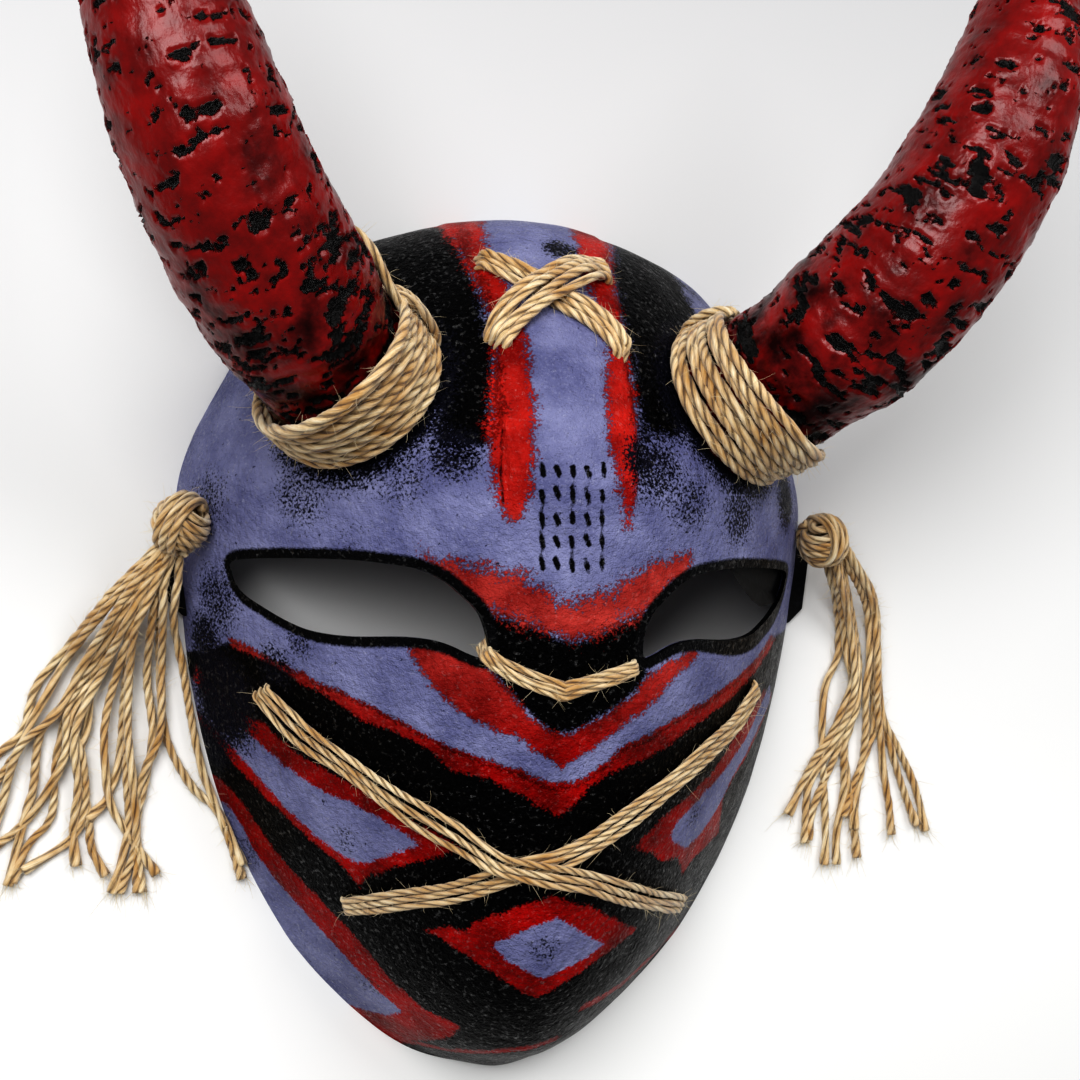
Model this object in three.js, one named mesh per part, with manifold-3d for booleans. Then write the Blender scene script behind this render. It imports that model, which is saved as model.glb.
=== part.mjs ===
// Oni mask: a thin hollow face that lies on its flat rim, with two thick horns, twine wound round
// the foot of each horn and laced over the forehead, nose and mouth, and a tassel at each side.
// Millimetres. +X is the viewer's right, +Y points to the crown and +Z out of the face.

import * as THREE from 'three';
import { mergeVertices } from 'three/addons/utils/BufferGeometryUtils.js';
import Module from 'manifold-3d';

const wasm = await Module();
wasm.setup();

// Driving dimensions of the face
const MASK_LENGTH = 250;
const MASK_HALF_WIDTH = 95.2;
const MASK_DEPTH = 81.8;
const WALL = 3.5;
const CHIN_BELOW_MIDDLE = 112;

// Profile of the face from chin to crown. Each row is a share of the length, then the rim's half
// width and the ridge's height there, as shares of the greatest ones.
const FACE_PROFILE = [
  [0, 0, 0],
  [0.02, 0.243, 0.2],
  [0.07, 0.425, 0.518],
  [0.17, 0.655, 0.752],
  [0.35, 0.875, 0.889],
  [0.5, 0.962, 0.977],
  [0.66, 1, 1],
  [0.82, 0.843, 0.796],
  [0.93, 0.638, 0.54],
  [0.985, 0.312, 0.3],
  [1, 0, 0],
];

// Roundness of a section across the face, at mid length and its change from chin to crown
const ACROSS_POWER = 1.89;
const ACROSS_POWER_CHANGE = 0.14;
const SIDE_POWER = 1.16;
const SIDE_POWER_CHANGE = 0.7;

// Raised strip up the forehead: rows of half width and of distance along, as a share of the length
const STRIP_RISE = 1.8;
const STRIP_START = 0.63;
const STRIP_FULL = 0.74;
const STRIP_OUTLINE = [[8, 0.62], [16, 0.66], [17.5, 0.74], [17, 0.82], [19, 0.9], [24, 1.02]];

// Flat tabs that stand out of the rim at each side, under the tassels
const TAB_REACH = 4.5;
const TAB_THICKNESS = 3;
const TAB_FROM = 0.53;
const TAB_TO = 0.66;

// Eye holes: each point is a share of the half width there and a share of the length
const EYE_UPPER_EDGE = [
  [0.229, 0.506], [0.22, 0.522], [0.245, 0.553], [0.331, 0.583], [0.432, 0.596], [0.59, 0.601],
  [0.833, 0.597],
];
const EYE_LOWER_EDGE = [
  [0.833, 0.597], [0.852, 0.582], [0.771, 0.545], [0.653, 0.524], [0.421, 0.524], [0.266, 0.509],
  [0.229, 0.506],
];

// Horns: the foot's place on the face, and the bend as shares of the horn's length
const HORN_LENGTH = 174;
const HORN_FOOT_RADIUS = 23.8;
const HORN_UPPER_RADIUS = 16.8;
const HORN_TIP_SHARE = 0.98;
const HORN_TIP_POWER = 6;
const HORN_SUNK = 5.2;
const HORN_PLACE = [0.568, 0.772];
const HORN_BEND = [[0, 0, 0], [0.219, 0.136, 0.346], [0.335, 0.416, 0.408], [0.374, 0.7515, 0.281]];
const HORN_BURIED_SHARE = -0.12;
const HORN_STATION_EASE = 0.9;

// Twine, and the clearance between pieces that touch
const TWINE = 2.6;
const GAP = 0.3;
const VALLEY_SHARE = 0.6;

// Winding round the foot of each horn: wide towards the nose, gathered towards the crown
const WINDING_TURNS = 7;
const WINDING_WIDE = 26;
const WINDING_NARROW = 8;
const WINDING_WIDE_ANGLE = THREE.MathUtils.degToRad(285);
const WINDING_EASE = 0.8;
const WINDING_DOUBLING = 2.1;
const WINDING_SINK = 2;
const WINDING_KNOT_RADIUS = 4.2;
const WINDING_KNOT_ANGLE = { left: THREE.MathUtils.degToRad(205), right: THREE.MathUtils.degToRad(165) };

// Laced bands: points as shares of the half width and of the length, and the strands in each
const MOUTH_OVER = [
  [-0.817, 0.463], [-0.7, 0.418], [-0.589, 0.383], [-0.325, 0.325], [-0.085, 0.291], [0.267, 0.257],
  [0.757, 0.207],
];
const MOUTH_UNDER = [
  [0.766, 0.47], [0.506, 0.395], [0.318, 0.355], [0.145, 0.32], [-0.085, 0.291], [-0.403, 0.252],
  [-0.726, 0.221],
];
const FOREHEAD_OVER = [[0.25, 0.928], [0.08, 0.914], [-0.03, 0.893], [-0.15, 0.873], [-0.25, 0.826]];
const FOREHEAD_UNDER = [[-0.325, 0.932], [-0.199, 0.922], [-0.08, 0.904], [0.036, 0.876], [0.23, 0.822]];
const NOSE_BAND = [
  [-0.236, 0.517], [-0.19, 0.501], [-0.11, 0.487], [-0.015, 0.475], [0.09, 0.482], [0.218, 0.5],
];
const MOUTH_CROSSING = [-0.085, 0.291];
const FOREHEAD_CROSSING = [-0.04, 0.895];
const MOUTH_STRANDS = 3;
const FOREHEAD_STRANDS = 4;
const NOSE_STRANDS = 3;
// A band that crosses another rises over it: flat out to the first distance, down by the second
const CROSSING_FLAT = 8;
const CROSSING_RAMP = 22;
const FACET_ROOM = 0.35;

// Tassels: the knot's place on the side of the face, its size, and its bundle of strands
const KNOT_PLACE = [0.915, 0.636];
const KNOT_RADIUS = 8.3;
const KNOT_LENGTH_SHARE = 1.12;
const KNOT_PRESSED = 0.2;
const BUNDLE_NECK = 4.6;
const BUNDLE_HALF_WIDTH = 6;
const BUNDLE_SPREAD = 8.5;
const BUNDLE_HALF_HEIGHT = 3.6;
const BUNDLE_END_HALF_HEIGHT = 2.9;
const BUNDLE_FILL = 0.85;

// Strands on the surface below, as distances outwards from the knot and along the face
const TASSELS = {
  left: {
    bundle: [[3, -6, -6], [7, -13, -13], [11, -20, -16]],
    strands: [
      [[17, -21], [36, -45], [50, -68], [62, -90]],
      [[19, -25], [32, -44], [43, -66], [56, -94]],
      [[17, -27], [31, -53], [45, -77], [51, -98]],
      [[15, -30], [27, -48], [37, -75], [43, -102]],
      [[15, -34], [29, -63], [38, -81], [51, -91]],
      [[14, -36], [26, -56], [25, -78], [39, -98]],
      [[13, -38], [25, -60], [26, -84], [25, -97]],
      [[13, -36], [23, -58], [24, -72], [18, -99]],
      [[10, -39], [18, -58], [16, -79], [4, -100]],
      [[8, -36], [13, -60], [12, -84], [15, -106]],
      [[7, -28], [7, -47], [7, -75], [9, -107]],
      [[5, -26], [2, -52], [-8, -76], [-18, -102]],
    ],
  },
  right: {
    bundle: [[10, -3, -6], [16, -8, -12], [22, -16, -15]],
    strands: [
      [[16, -22], [15, -40], [12, -62], [14, -105]],
      [[19, -24], [20, -46], [14, -65], [2, -87]],
      [[22, -26], [22, -50], [13, -69], [7, -96]],
      [[23, -30], [24, -52], [20, -72], [18, -105]],
      [[23, -30], [22, -60], [21, -80], [25, -101]],
      [[28, -24], [31, -46], [33, -68], [36, -94]],
      [[28, -22], [31, -48], [38, -72], [46, -91]],
      [[28, -26], [30, -58], [28, -70], [20, -88]],
      [[29, -22], [32, -50], [39, -67], [50, -93]],
    ],
  },
};

// Fineness of the facets
const RIM_SEGMENTS = 58;
const OUTER_RINGS = 12;
const INNER_RINGS = 6;
const HORN_SIDES = 16;
const HORN_STEPS = 12;
const WINDING_SEGMENTS = 16;
const BAND_STEPS = 13;
const SHORT_BAND_STEPS = 8;
const STRAND_SIDES = 4;
const STRAND_STEPS = 5;
const EYE_EDGE_STEPS = 11;
const KNOT_SEGMENTS = 9;
const KNOT_RINGS = 6;
const BUNDLE_SIDES = 8;
const MERGE_TOLERANCE = 1e-4;
const SLOPE_STEP = 0.05;
const ANGLE_STEP = 0.05;
const BELOW_FLOOR = 60;
const ABOVE_FACE = 200;
const UPWARDS = new THREE.Vector3(0, 0, 1);

const MATERIALS = {
  face: { color: 0x6b6aa0, roughness: 0.62, metalness: 0 },
  horn: { color: 0x7a0b0b, roughness: 0.3, metalness: 0 },
  twine: { color: 0xb8935a, roughness: 0.9, metalness: 0 },
};

// A smooth curve through the squares of the values, which closes roundly where they reach zero
function roundedProfile(column) {
  const shares = FACE_PROFILE.map((row) => row[0]);
  const squares = FACE_PROFILE.map((row) => row[column] ** 2);
  const spans = shares.slice(1).map((share, i) => share - shares[i]);
  const slopes = spans.map((span, i) => (squares[i + 1] - squares[i]) / span);
  const tangents = squares.map((square, i) => {
    if (i === 0) return slopes[0];
    if (i === slopes.length) return slopes[i - 1];
    if (slopes[i - 1] * slopes[i] <= 0) return 0;
    const before = 2 * spans[i] + spans[i - 1];
    const after = spans[i] + 2 * spans[i - 1];
    return (before + after) / (before / slopes[i - 1] + after / slopes[i]);
  });
  return (share) => {
    const at = THREE.MathUtils.clamp(share, 0, 1);
    const i = Math.min(shares.findLastIndex((start) => start <= at), spans.length - 1);
    const u = (at - shares[i]) / spans[i];
    const startWeight = (1 + 2 * u) * (1 - u) ** 2;
    const endWeight = u * u * (3 - 2 * u);
    const bend = u * (1 - u) * spans[i] * (tangents[i] * (1 - u) - tangents[i + 1] * u);
    return Math.sqrt(Math.max(squares[i] * startWeight + squares[i + 1] * endWeight + bend, 0));
  };
}

const widthProfile = roundedProfile(1);
const heightProfile = roundedProfile(2);

function halfWidthAt(share) {
  return MASK_HALF_WIDTH * widthProfile(share);
}

function yAt(share) {
  return share * MASK_LENGTH - CHIN_BELOW_MIDDLE;
}

function shareAt(y) {
  return (y + CHIN_BELOW_MIDDLE) / MASK_LENGTH;
}

// Height of the painted outer surface over the rim's plane
function faceHeight(x, y) {
  const share = shareAt(y);
  const sideways = Math.abs(x) / Math.max(halfWidthAt(share), MERGE_TOLERANCE);
  if (sideways >= 1 || share <= 0 || share >= 1) return 0;
  const acrossPower = ACROSS_POWER + ACROSS_POWER_CHANGE * (share - 0.5);
  const sidePower = SIDE_POWER + SIDE_POWER_CHANGE * (share - 0.5);
  return MASK_DEPTH * heightProfile(share) * (1 - sideways ** acrossPower) ** (1 / sidePower);
}

function faceNormal(x, y) {
  const slopeX = (faceHeight(x + SLOPE_STEP, y) - faceHeight(x - SLOPE_STEP, y)) / (2 * SLOPE_STEP);
  const slopeY = (faceHeight(x, y + SLOPE_STEP) - faceHeight(x, y - SLOPE_STEP)) / (2 * SLOPE_STEP);
  return new THREE.Vector3(-slopeX, -slopeY, 1).normalize();
}

// A point over the face, from its shares of the half width and of the length
function facePoint([across, along], lift = 0) {
  const x = across * halfWidthAt(along);
  const y = yAt(along);
  const point = new THREE.Vector3(x, y, faceHeight(x, y));
  return point.addScaledVector(faceNormal(x, y), lift);
}

function rimPoint(angle) {
  const share = (1 - Math.cos(angle)) / 2;
  return new THREE.Vector2(Math.sign(Math.sin(angle)) * halfWidthAt(share), yAt(share));
}

function rimNormal(angle) {
  const ahead = rimPoint(angle + ANGLE_STEP);
  const behind = rimPoint(angle - ANGLE_STEP);
  const normal = new THREE.Vector2(ahead.y - behind.y, behind.x - ahead.x).normalize();
  const outwards = rimPoint(angle).sub(new THREE.Vector2(0, yAt(0.5)));
  return normal.dot(outwards) < 0 ? normal.negate() : normal;
}

// Closed solids and their use
function moveVertices(geometry, move) {
  const position = geometry.attributes.position;
  const point = new THREE.Vector3();
  for (let i = 0; i < position.count; i += 1) {
    point.fromBufferAttribute(position, i);
    const moved = move(point.clone());
    position.setXYZ(i, moved.x, moved.y, moved.z);
  }
  return geometry;
}

function signedVolume(positions, corners) {
  const [a, b, c] = [new THREE.Vector3(), new THREE.Vector3(), new THREE.Vector3()];
  let volume = 0;
  for (let i = 0; i < corners.length; i += 3) {
    a.fromArray(positions, 3 * corners[i]);
    b.fromArray(positions, 3 * corners[i + 1]);
    c.fromArray(positions, 3 * corners[i + 2]);
    volume += a.dot(b.cross(c)) / 6;
  }
  return volume;
}

function solidFrom(geometry) {
  geometry.deleteAttribute('normal');
  geometry.deleteAttribute('uv');
  const merged = mergeVertices(geometry, MERGE_TOLERANCE);
  const positions = merged.attributes.position.array;
  const corners = [];
  for (let i = 0; i < merged.index.count; i += 3) {
    const [a, b, c] = merged.index.array.slice(i, i + 3);
    if (a !== b && b !== c && c !== a) corners.push(a, b, c);
  }
  if (signedVolume(positions, corners) < 0) corners.reverse();
  const mesh = new wasm.Mesh({ numProp: 3, vertProperties: positions, triVerts: new Uint32Array(corners) });
  return new wasm.Manifold(mesh);
}

function meshFrom(name, solid, material) {
  const { vertProperties, triVerts } = solid.getMesh();
  const geometry = new THREE.BufferGeometry();
  geometry.setAttribute('position', new THREE.BufferAttribute(vertProperties, 3));
  geometry.setIndex(new THREE.BufferAttribute(triVerts, 1));
  geometry.computeVertexNormals();
  const mesh = new THREE.Mesh(geometry, material);
  mesh.name = name;
  return mesh;
}

// A prism of the section with one slice for each station, bent on to the stations
function sweep(section, stations) {
  const last = stations.length - 1;
  const prism = new THREE.ExtrudeGeometry(section, { steps: last, depth: last, bevelEnabled: false });
  return solidFrom(moveVertices(prism, (point) => {
    const station = stations[Math.round(point.z)];
    const moved = station.position.clone().addScaledVector(station.across, point.x);
    return moved.addScaledVector(station.up, point.y);
  }));
}

function polygonSection(sides) {
  const turn = (2 * Math.PI) / sides;
  const corner = (i) => new THREE.Vector2(Math.cos((i + 0.5) * turn), Math.sin((i + 0.5) * turn));
  return new THREE.Shape(Array.from({ length: sides }, (unused, i) => corner(i)));
}

// A solid under the outer surface moved out by the lift, down to a floor below the rim
function dome(lift, drop, rings) {
  const liftAt = typeof lift === 'function' ? lift : () => lift;
  const profile = [];
  for (let ring = 0; ring <= rings; ring += 1) {
    profile.push(new THREE.Vector2(Math.sin((ring / rings) * (Math.PI / 2)), 1));
  }
  if (drop > 0) profile.push(new THREE.Vector2(1, -1));
  profile.push(new THREE.Vector2(0, -1));
  const lathe = new THREE.LatheGeometry(profile, RIM_SEGMENTS);
  const middle = new THREE.Vector2(0, yAt(0.5));
  return solidFrom(moveVertices(lathe, (vertex) => {
    const spread = Math.min(Math.hypot(vertex.x, vertex.z), 1);
    const angle = Math.atan2(vertex.x, vertex.z);
    const plan = middle.clone().lerp(rimPoint(angle), spread);
    const onRim = spread > 1 - MERGE_TOLERANCE;
    const outwards = onRim ? rimNormal(angle) : new THREE.Vector2();
    if (onRim) plan.addScaledVector(outwards, liftAt(plan.y));
    if (vertex.y < 0) return new THREE.Vector3(plan.x, plan.y, -drop);
    if (onRim) return new THREE.Vector3(plan.x, plan.y, 0);
    const point = new THREE.Vector3(plan.x, plan.y, faceHeight(plan.x, plan.y));
    return point.addScaledVector(faceNormal(plan.x, plan.y), liftAt(plan.y));
  }));
}

function uprightPrism(points, bottom, top) {
  const size = { depth: top - bottom, bevelEnabled: false };
  const prism = new THREE.ExtrudeGeometry(new THREE.Shape(points), size);
  return solidFrom(prism.translate(0, 0, bottom));
}

function planPoint([across, along], side = 1) {
  return new THREE.Vector2(side * across * halfWidthAt(along), yAt(along));
}

// Face shell
function stripRiseShare(share) {
  return THREE.MathUtils.smoothstep(share, STRIP_START, STRIP_FULL);
}

// How far the strip lifts what lies over a spot of the face, with a slope down past its edge
function stripRiseAt(spot) {
  const share = shareAt(spot.y);
  const next = Math.max(STRIP_OUTLINE.findIndex(([, along]) => along > share), 1);
  const [low, high] = [STRIP_OUTLINE[next - 1], STRIP_OUTLINE[next]];
  const edge = THREE.MathUtils.mapLinear(share, low[1], high[1], low[0], high[0]);
  const off = THREE.MathUtils.smoothstep(Math.abs(spot.x), edge + GAP, edge + STRIP_RISE * 2);
  return STRIP_RISE * stripRiseShare(share) * (1 - off);
}

function foreheadStrip(extra) {
  const rightEdge = STRIP_OUTLINE.map(([halfWidth, along]) => (
    new THREE.Vector2(halfWidth + extra, yAt(along))
  ));
  const leftEdge = rightEdge.map((point) => new THREE.Vector2(-point.x, point.y)).reverse();
  const rise = (y) => extra - GAP + (STRIP_RISE + GAP) * stripRiseShare(shareAt(y));
  const drop = extra > 0 ? BELOW_FLOOR : 0;
  const outline = uprightPrism([...rightEdge, ...leftEdge], -drop - 1, ABOVE_FACE);
  return dome(rise, drop, OUTER_RINGS).intersect(outline);
}

function sideTab(side) {
  const outerX = (share) => side * (halfWidthAt(share) + TAB_REACH);
  const innerX = (share) => side * (halfWidthAt(share) - WALL);
  const points = [
    new THREE.Vector2(innerX(TAB_FROM), yAt(TAB_FROM)),
    new THREE.Vector2(side * halfWidthAt(TAB_FROM), yAt(TAB_FROM)),
    new THREE.Vector2(outerX(TAB_FROM), yAt(TAB_FROM) + TAB_REACH),
    new THREE.Vector2(outerX(TAB_TO), yAt(TAB_TO) - TAB_REACH),
    new THREE.Vector2(innerX(TAB_TO), yAt(TAB_TO)),
  ];
  return uprightPrism(points, 0, TAB_THICKNESS);
}

function eyeHole(side) {
  const edges = [EYE_UPPER_EDGE, EYE_LOWER_EDGE].map((edge) => {
    const curve = new THREE.SplineCurve(edge.map((point) => planPoint(point, side)));
    return curve.getSpacedPoints(EYE_EDGE_STEPS).slice(0, -1);
  });
  return uprightPrism(edges.flat(), -BELOW_FLOOR, ABOVE_FACE);
}

function faceShell() {
  let shell = dome(0, 0, OUTER_RINGS).add(foreheadStrip(0));
  for (const side of [-1, 1]) shell = shell.add(sideTab(side));
  shell = shell.subtract(dome(-WALL, BELOW_FLOOR, INNER_RINGS));
  for (const side of [-1, 1]) shell = shell.subtract(eyeHole(side));
  return shell;
}

// What sits on the face is cut to it, with the clearance left between them
const seatCutter = dome(GAP, BELOW_FLOOR, OUTER_RINGS).add(foreheadStrip(GAP));

function seatOnFace(solid) {
  return solid.subtract(seatCutter);
}

// Horns
function hornCurve(side) {
  const root = facePoint([HORN_PLACE[0] * side, HORN_PLACE[1]]);
  root.z -= HORN_SUNK;
  const control = HORN_BEND.map(([x, y, z]) => (
    new THREE.Vector3(x * side, y, z).multiplyScalar(HORN_LENGTH).add(root)
  ));
  return new THREE.CubicBezierCurve3(...control);
}

function hornRadius(t) {
  const taper = (1 - HORN_UPPER_RADIUS / HORN_FOOT_RADIUS) * t;
  const tip = (HORN_UPPER_RADIUS / HORN_FOOT_RADIUS) * HORN_TIP_SHARE * Math.max(t, 0) ** HORN_TIP_POWER;
  return HORN_FOOT_RADIUS * (1 - taper - tip);
}

function hornStations(side, extra) {
  const curve = hornCurve(side);
  return Array.from({ length: HORN_STEPS + 1 }, (unused, i) => {
    const eased = Math.sin((i / HORN_STEPS) * (Math.PI / 2)) ** HORN_STATION_EASE;
    const t = HORN_BURIED_SHARE + (1 - HORN_BURIED_SHARE) * eased;
    const before = curve.getPoint(t - MERGE_TOLERANCE);
    const tangent = curve.getPoint(t + MERGE_TOLERANCE).sub(before).normalize();
    const across = new THREE.Vector3().crossVectors(tangent, new THREE.Vector3(1, 0, 0)).normalize();
    const up = new THREE.Vector3().crossVectors(tangent, across);
    const radius = hornRadius(t) + extra;
    across.multiplyScalar(radius);
    up.multiplyScalar(radius);
    return { position: curve.getPoint(t), across, up };
  });
}

function horn(side) {
  return seatOnFace(sweep(polygonSection(HORN_SIDES), hornStations(side, 0)));
}

// Twine wound round a horn's foot
function hornFootFrame(side) {
  const curve = hornCurve(side);
  const root = curve.getPoint(0);
  const axis = curve.getPoint(MERGE_TOLERANCE).sub(root).normalize();
  const first = new THREE.Vector3().crossVectors(axis, UPWARDS).normalize().multiplyScalar(side);
  const second = new THREE.Vector3().crossVectors(axis, first).multiplyScalar(side);
  return { root, axis, first, second };
}

function aroundFoot(frame, angle, radius, distance) {
  return frame.root.clone()
    .addScaledVector(frame.axis, distance)
    .addScaledVector(frame.first, radius * Math.cos(angle))
    .addScaledVector(frame.second, radius * Math.sin(angle));
}

// How far along the horn's axis a line beside it comes out of the face
function footDistance(frame, angle, radius) {
  let [inside, outside] = [-HORN_FOOT_RADIUS * 2, HORN_FOOT_RADIUS * 2];
  while (outside - inside > MERGE_TOLERANCE) {
    const middle = (inside + outside) / 2;
    const point = aroundFoot(frame, angle, radius, middle);
    if (point.z < faceHeight(point.x, point.y)) inside = middle;
    else outside = middle;
  }
  return inside;
}

function windingSize(angle) {
  const wide = ((1 + Math.cos(angle - WINDING_WIDE_ANGLE)) / 2) ** WINDING_EASE;
  return {
    height: WINDING_NARROW + (WINDING_WIDE - WINDING_NARROW) * wide,
    doubling: WINDING_DOUBLING * (1 - wide),
  };
}

function hornWinding(side, knotAngle) {
  const frame = hornFootFrame(side);
  const inner = HORN_FOOT_RADIUS - TWINE;
  const profile = [new THREE.Vector2(inner, 0)];
  for (let half = 0; half <= WINDING_TURNS * 2; half += 1) {
    const thickness = TWINE * (half % 2 === 0 ? VALLEY_SHARE : 1);
    profile.push(new THREE.Vector2(HORN_FOOT_RADIUS + thickness, half / (WINDING_TURNS * 2)));
  }
  profile.push(new THREE.Vector2(inner, 1), new THREE.Vector2(inner, 0));
  const ring = solidFrom(moveVertices(new THREE.LatheGeometry(profile, WINDING_SEGMENTS), (vertex) => {
    const angle = Math.atan2(vertex.x, vertex.z);
    const size = windingSize(angle);
    const radius = Math.hypot(vertex.x, vertex.z);
    const bulge = size.doubling * Math.sin(Math.PI * vertex.y) ** WINDING_EASE;
    const outer = radius > HORN_FOOT_RADIUS ? radius + bulge : radius;
    const start = footDistance(frame, angle, HORN_FOOT_RADIUS + TWINE / 2) - WINDING_SINK;
    return aroundFoot(frame, angle, outer, start + vertex.y * (size.height + WINDING_SINK));
  }));
  const knotStart = footDistance(frame, knotAngle, HORN_FOOT_RADIUS);
  const knotMiddle = knotStart + windingSize(knotAngle).height / 2;
  const knotCentre = aroundFoot(frame, knotAngle, HORN_FOOT_RADIUS + TWINE, knotMiddle);
  const knotBall = new THREE.SphereGeometry(WINDING_KNOT_RADIUS, KNOT_SEGMENTS, KNOT_RINGS);
  const knot = solidFrom(knotBall.translate(...knotCentre.toArray()));
  const grownHorn = sweep(polygonSection(HORN_SIDES), hornStations(side, GAP));
  return seatOnFace(ring.add(knot).subtract(grownHorn));
}

// Bands of twine laced over the face
function bandSection(strands) {
  const half = (strands * TWINE) / 2;
  const points = [new THREE.Vector2(half - TWINE / 4, 0), new THREE.Vector2(half, TWINE / 2)];
  for (let i = 0; i < strands; i += 1) {
    const centre = half - TWINE * (i + 0.5);
    points.push(new THREE.Vector2(centre, TWINE));
    if (i < strands - 1) points.push(new THREE.Vector2(centre - TWINE / 2, TWINE * VALLEY_SHARE));
  }
  points.push(new THREE.Vector2(-half, TWINE / 2), new THREE.Vector2(TWINE / 4 - half, 0));
  return new THREE.Shape(points);
}

function band(places, strands, steps, crossing) {
  const plan = new THREE.SplineCurve(places.map((place) => planPoint(place)));
  const spots = plan.getSpacedPoints(steps).map((spot) => {
    const normal = faceNormal(spot.x, spot.y);
    const position = new THREE.Vector3(spot.x, spot.y, faceHeight(spot.x, spot.y));
    const away = crossing ? position.distanceTo(crossing) : CROSSING_RAMP;
    const hump = 1 - THREE.MathUtils.smoothstep(away, CROSSING_FLAT, CROSSING_RAMP);
    const lift = stripRiseAt(spot) + GAP + FACET_ROOM + hump * (TWINE + 2 * GAP);
    return { position: position.addScaledVector(normal, lift), normal };
  });
  return sweep(bandSection(strands), spots.map((spot, i) => {
    const ahead = spots[Math.min(i + 1, spots.length - 1)].position;
    const behind = spots[Math.max(i - 1, 0)].position;
    const tangent = ahead.clone().sub(behind).normalize();
    const across = new THREE.Vector3().crossVectors(tangent, spot.normal).normalize();
    return { position: spot.position, across, up: new THREE.Vector3().crossVectors(across, tangent) };
  }));
}

// Tassels
function levelStations(points, halfWidths, halfHeights) {
  return points.map((position, i) => {
    const ahead = points[Math.min(i + 1, points.length - 1)];
    const behind = points[Math.max(i - 1, 0)];
    const tangent = ahead.clone().sub(behind).normalize();
    const across = new THREE.Vector3().crossVectors(tangent, UPWARDS).normalize();
    const up = new THREE.Vector3().crossVectors(across, tangent);
    across.multiplyScalar(halfWidths[i]);
    up.multiplyScalar(halfHeights[i]);
    return { position, across, up };
  });
}

// Every other strand lies a layer higher, so that it passes over its neighbours, and ends on the surface
function strand(knot, side, start, waypoints, layer) {
  const radius = (TWINE / 2) * Math.SQRT2;
  const lowest = TWINE / 2 + GAP / 10;
  const ground = waypoints.map(([out, along], i) => {
    const raised = i < waypoints.length - 1 ? layer * (TWINE + GAP) : 0;
    return new THREE.Vector3(knot.x + side * out, knot.y + along, lowest + raised);
  });
  const curve = new THREE.CatmullRomCurve3([start, ...ground]);
  const points = curve.getSpacedPoints(STRAND_STEPS);
  for (const point of points) point.z = Math.max(point.z, lowest);
  const sizes = points.map(() => radius);
  return sweep(polygonSection(STRAND_SIDES), levelStations(points, sizes, sizes));
}

function tassel(side, plan) {
  const knot = facePoint([KNOT_PLACE[0] * side, KNOT_PLACE[1]], KNOT_RADIUS - KNOT_PRESSED);
  const ball = new THREE.SphereGeometry(KNOT_RADIUS, KNOT_SEGMENTS, KNOT_RINGS);
  ball.scale(1, KNOT_LENGTH_SHARE, 1).translate(...knot.toArray());
  const bundle = plan.bundle.map(([out, along, up]) => new THREE.Vector3(side * out, along, up).add(knot));
  const widths = [BUNDLE_NECK, BUNDLE_NECK, BUNDLE_HALF_WIDTH, BUNDLE_SPREAD];
  const heights = [BUNDLE_NECK, BUNDLE_NECK, BUNDLE_HALF_HEIGHT, BUNDLE_END_HALF_HEIGHT];
  const stations = levelStations([knot, ...bundle], widths, heights);
  const end = stations[stations.length - 1];
  let solid = seatOnFace(solidFrom(ball)).add(sweep(polygonSection(BUNDLE_SIDES), stations));
  plan.strands.forEach((waypoints, i) => {
    const aside = side * BUNDLE_FILL * (1 - (2 * i) / (plan.strands.length - 1));
    const start = end.position.clone().addScaledVector(end.across, aside);
    start.z += ((i % 2) - 0.5) * TWINE;
    solid = solid.add(strand(knot, side, start, waypoints, i % 2));
  });
  return solid;
}

function build() {
  const paint = Object.fromEntries(
    Object.entries(MATERIALS).map(([slot, look]) => [slot, new THREE.MeshStandardMaterial(look)]),
  );
  const mouthCrossing = facePoint(MOUTH_CROSSING);
  const foreheadCrossing = facePoint(FOREHEAD_CROSSING);
  const mask = new THREE.Group();
  mask.add(meshFrom('mask_shell', faceShell(), paint.face));
  for (const [name, side] of [['left', -1], ['right', 1]]) {
    mask.add(meshFrom(`horn_${name}`, horn(side), paint.horn));
    mask.add(meshFrom(`twine_horn_${name}`, hornWinding(side, WINDING_KNOT_ANGLE[name]), paint.twine));
    mask.add(meshFrom(`tassel_${name}`, tassel(side, TASSELS[name]), paint.twine));
  }
  const foreheadOver = band(FOREHEAD_OVER, FOREHEAD_STRANDS, SHORT_BAND_STEPS, foreheadCrossing);
  const bands = {
    twine_mouth_under: band(MOUTH_UNDER, MOUTH_STRANDS, BAND_STEPS),
    twine_mouth_over: band(MOUTH_OVER, MOUTH_STRANDS, BAND_STEPS, mouthCrossing),
    twine_forehead_under: seatOnFace(band(FOREHEAD_UNDER, FOREHEAD_STRANDS, SHORT_BAND_STEPS)),
    twine_forehead_over: seatOnFace(foreheadOver),
    twine_nose: band(NOSE_BAND, NOSE_STRANDS, SHORT_BAND_STEPS),
  };
  for (const [name, solid] of Object.entries(bands)) mask.add(meshFrom(name, solid, paint.twine));
  return mask;
}

// The origin is below the middle of the whole mask, on the surface it lies on
function standOnOrigin(mask) {
  const box = new THREE.Box3().setFromObject(mask);
  const middle = box.getCenter(new THREE.Vector3());
  mask.position.set(-middle.x, -middle.y, -box.min.z);
  return mask;
}

const mask = standOnOrigin(build());
export default mask;
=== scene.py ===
# %% [markdown]
# # A horned face mask, laced with twine
# The mask lies face up on a pale floor. It is a thin papier-mache shell with a brushed and stippled
# paint pattern, two pitted red horns, jute twine wound round the horns' feet and laced over the face,
# and a tassel at each side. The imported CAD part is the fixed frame: every piece below takes its place
# and its size from it, and then stands for the plain solid of the same part.

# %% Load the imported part
import math
import random

import bmesh
import bpy
import numpy as np
from mathutils import Euler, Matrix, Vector, noise


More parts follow.
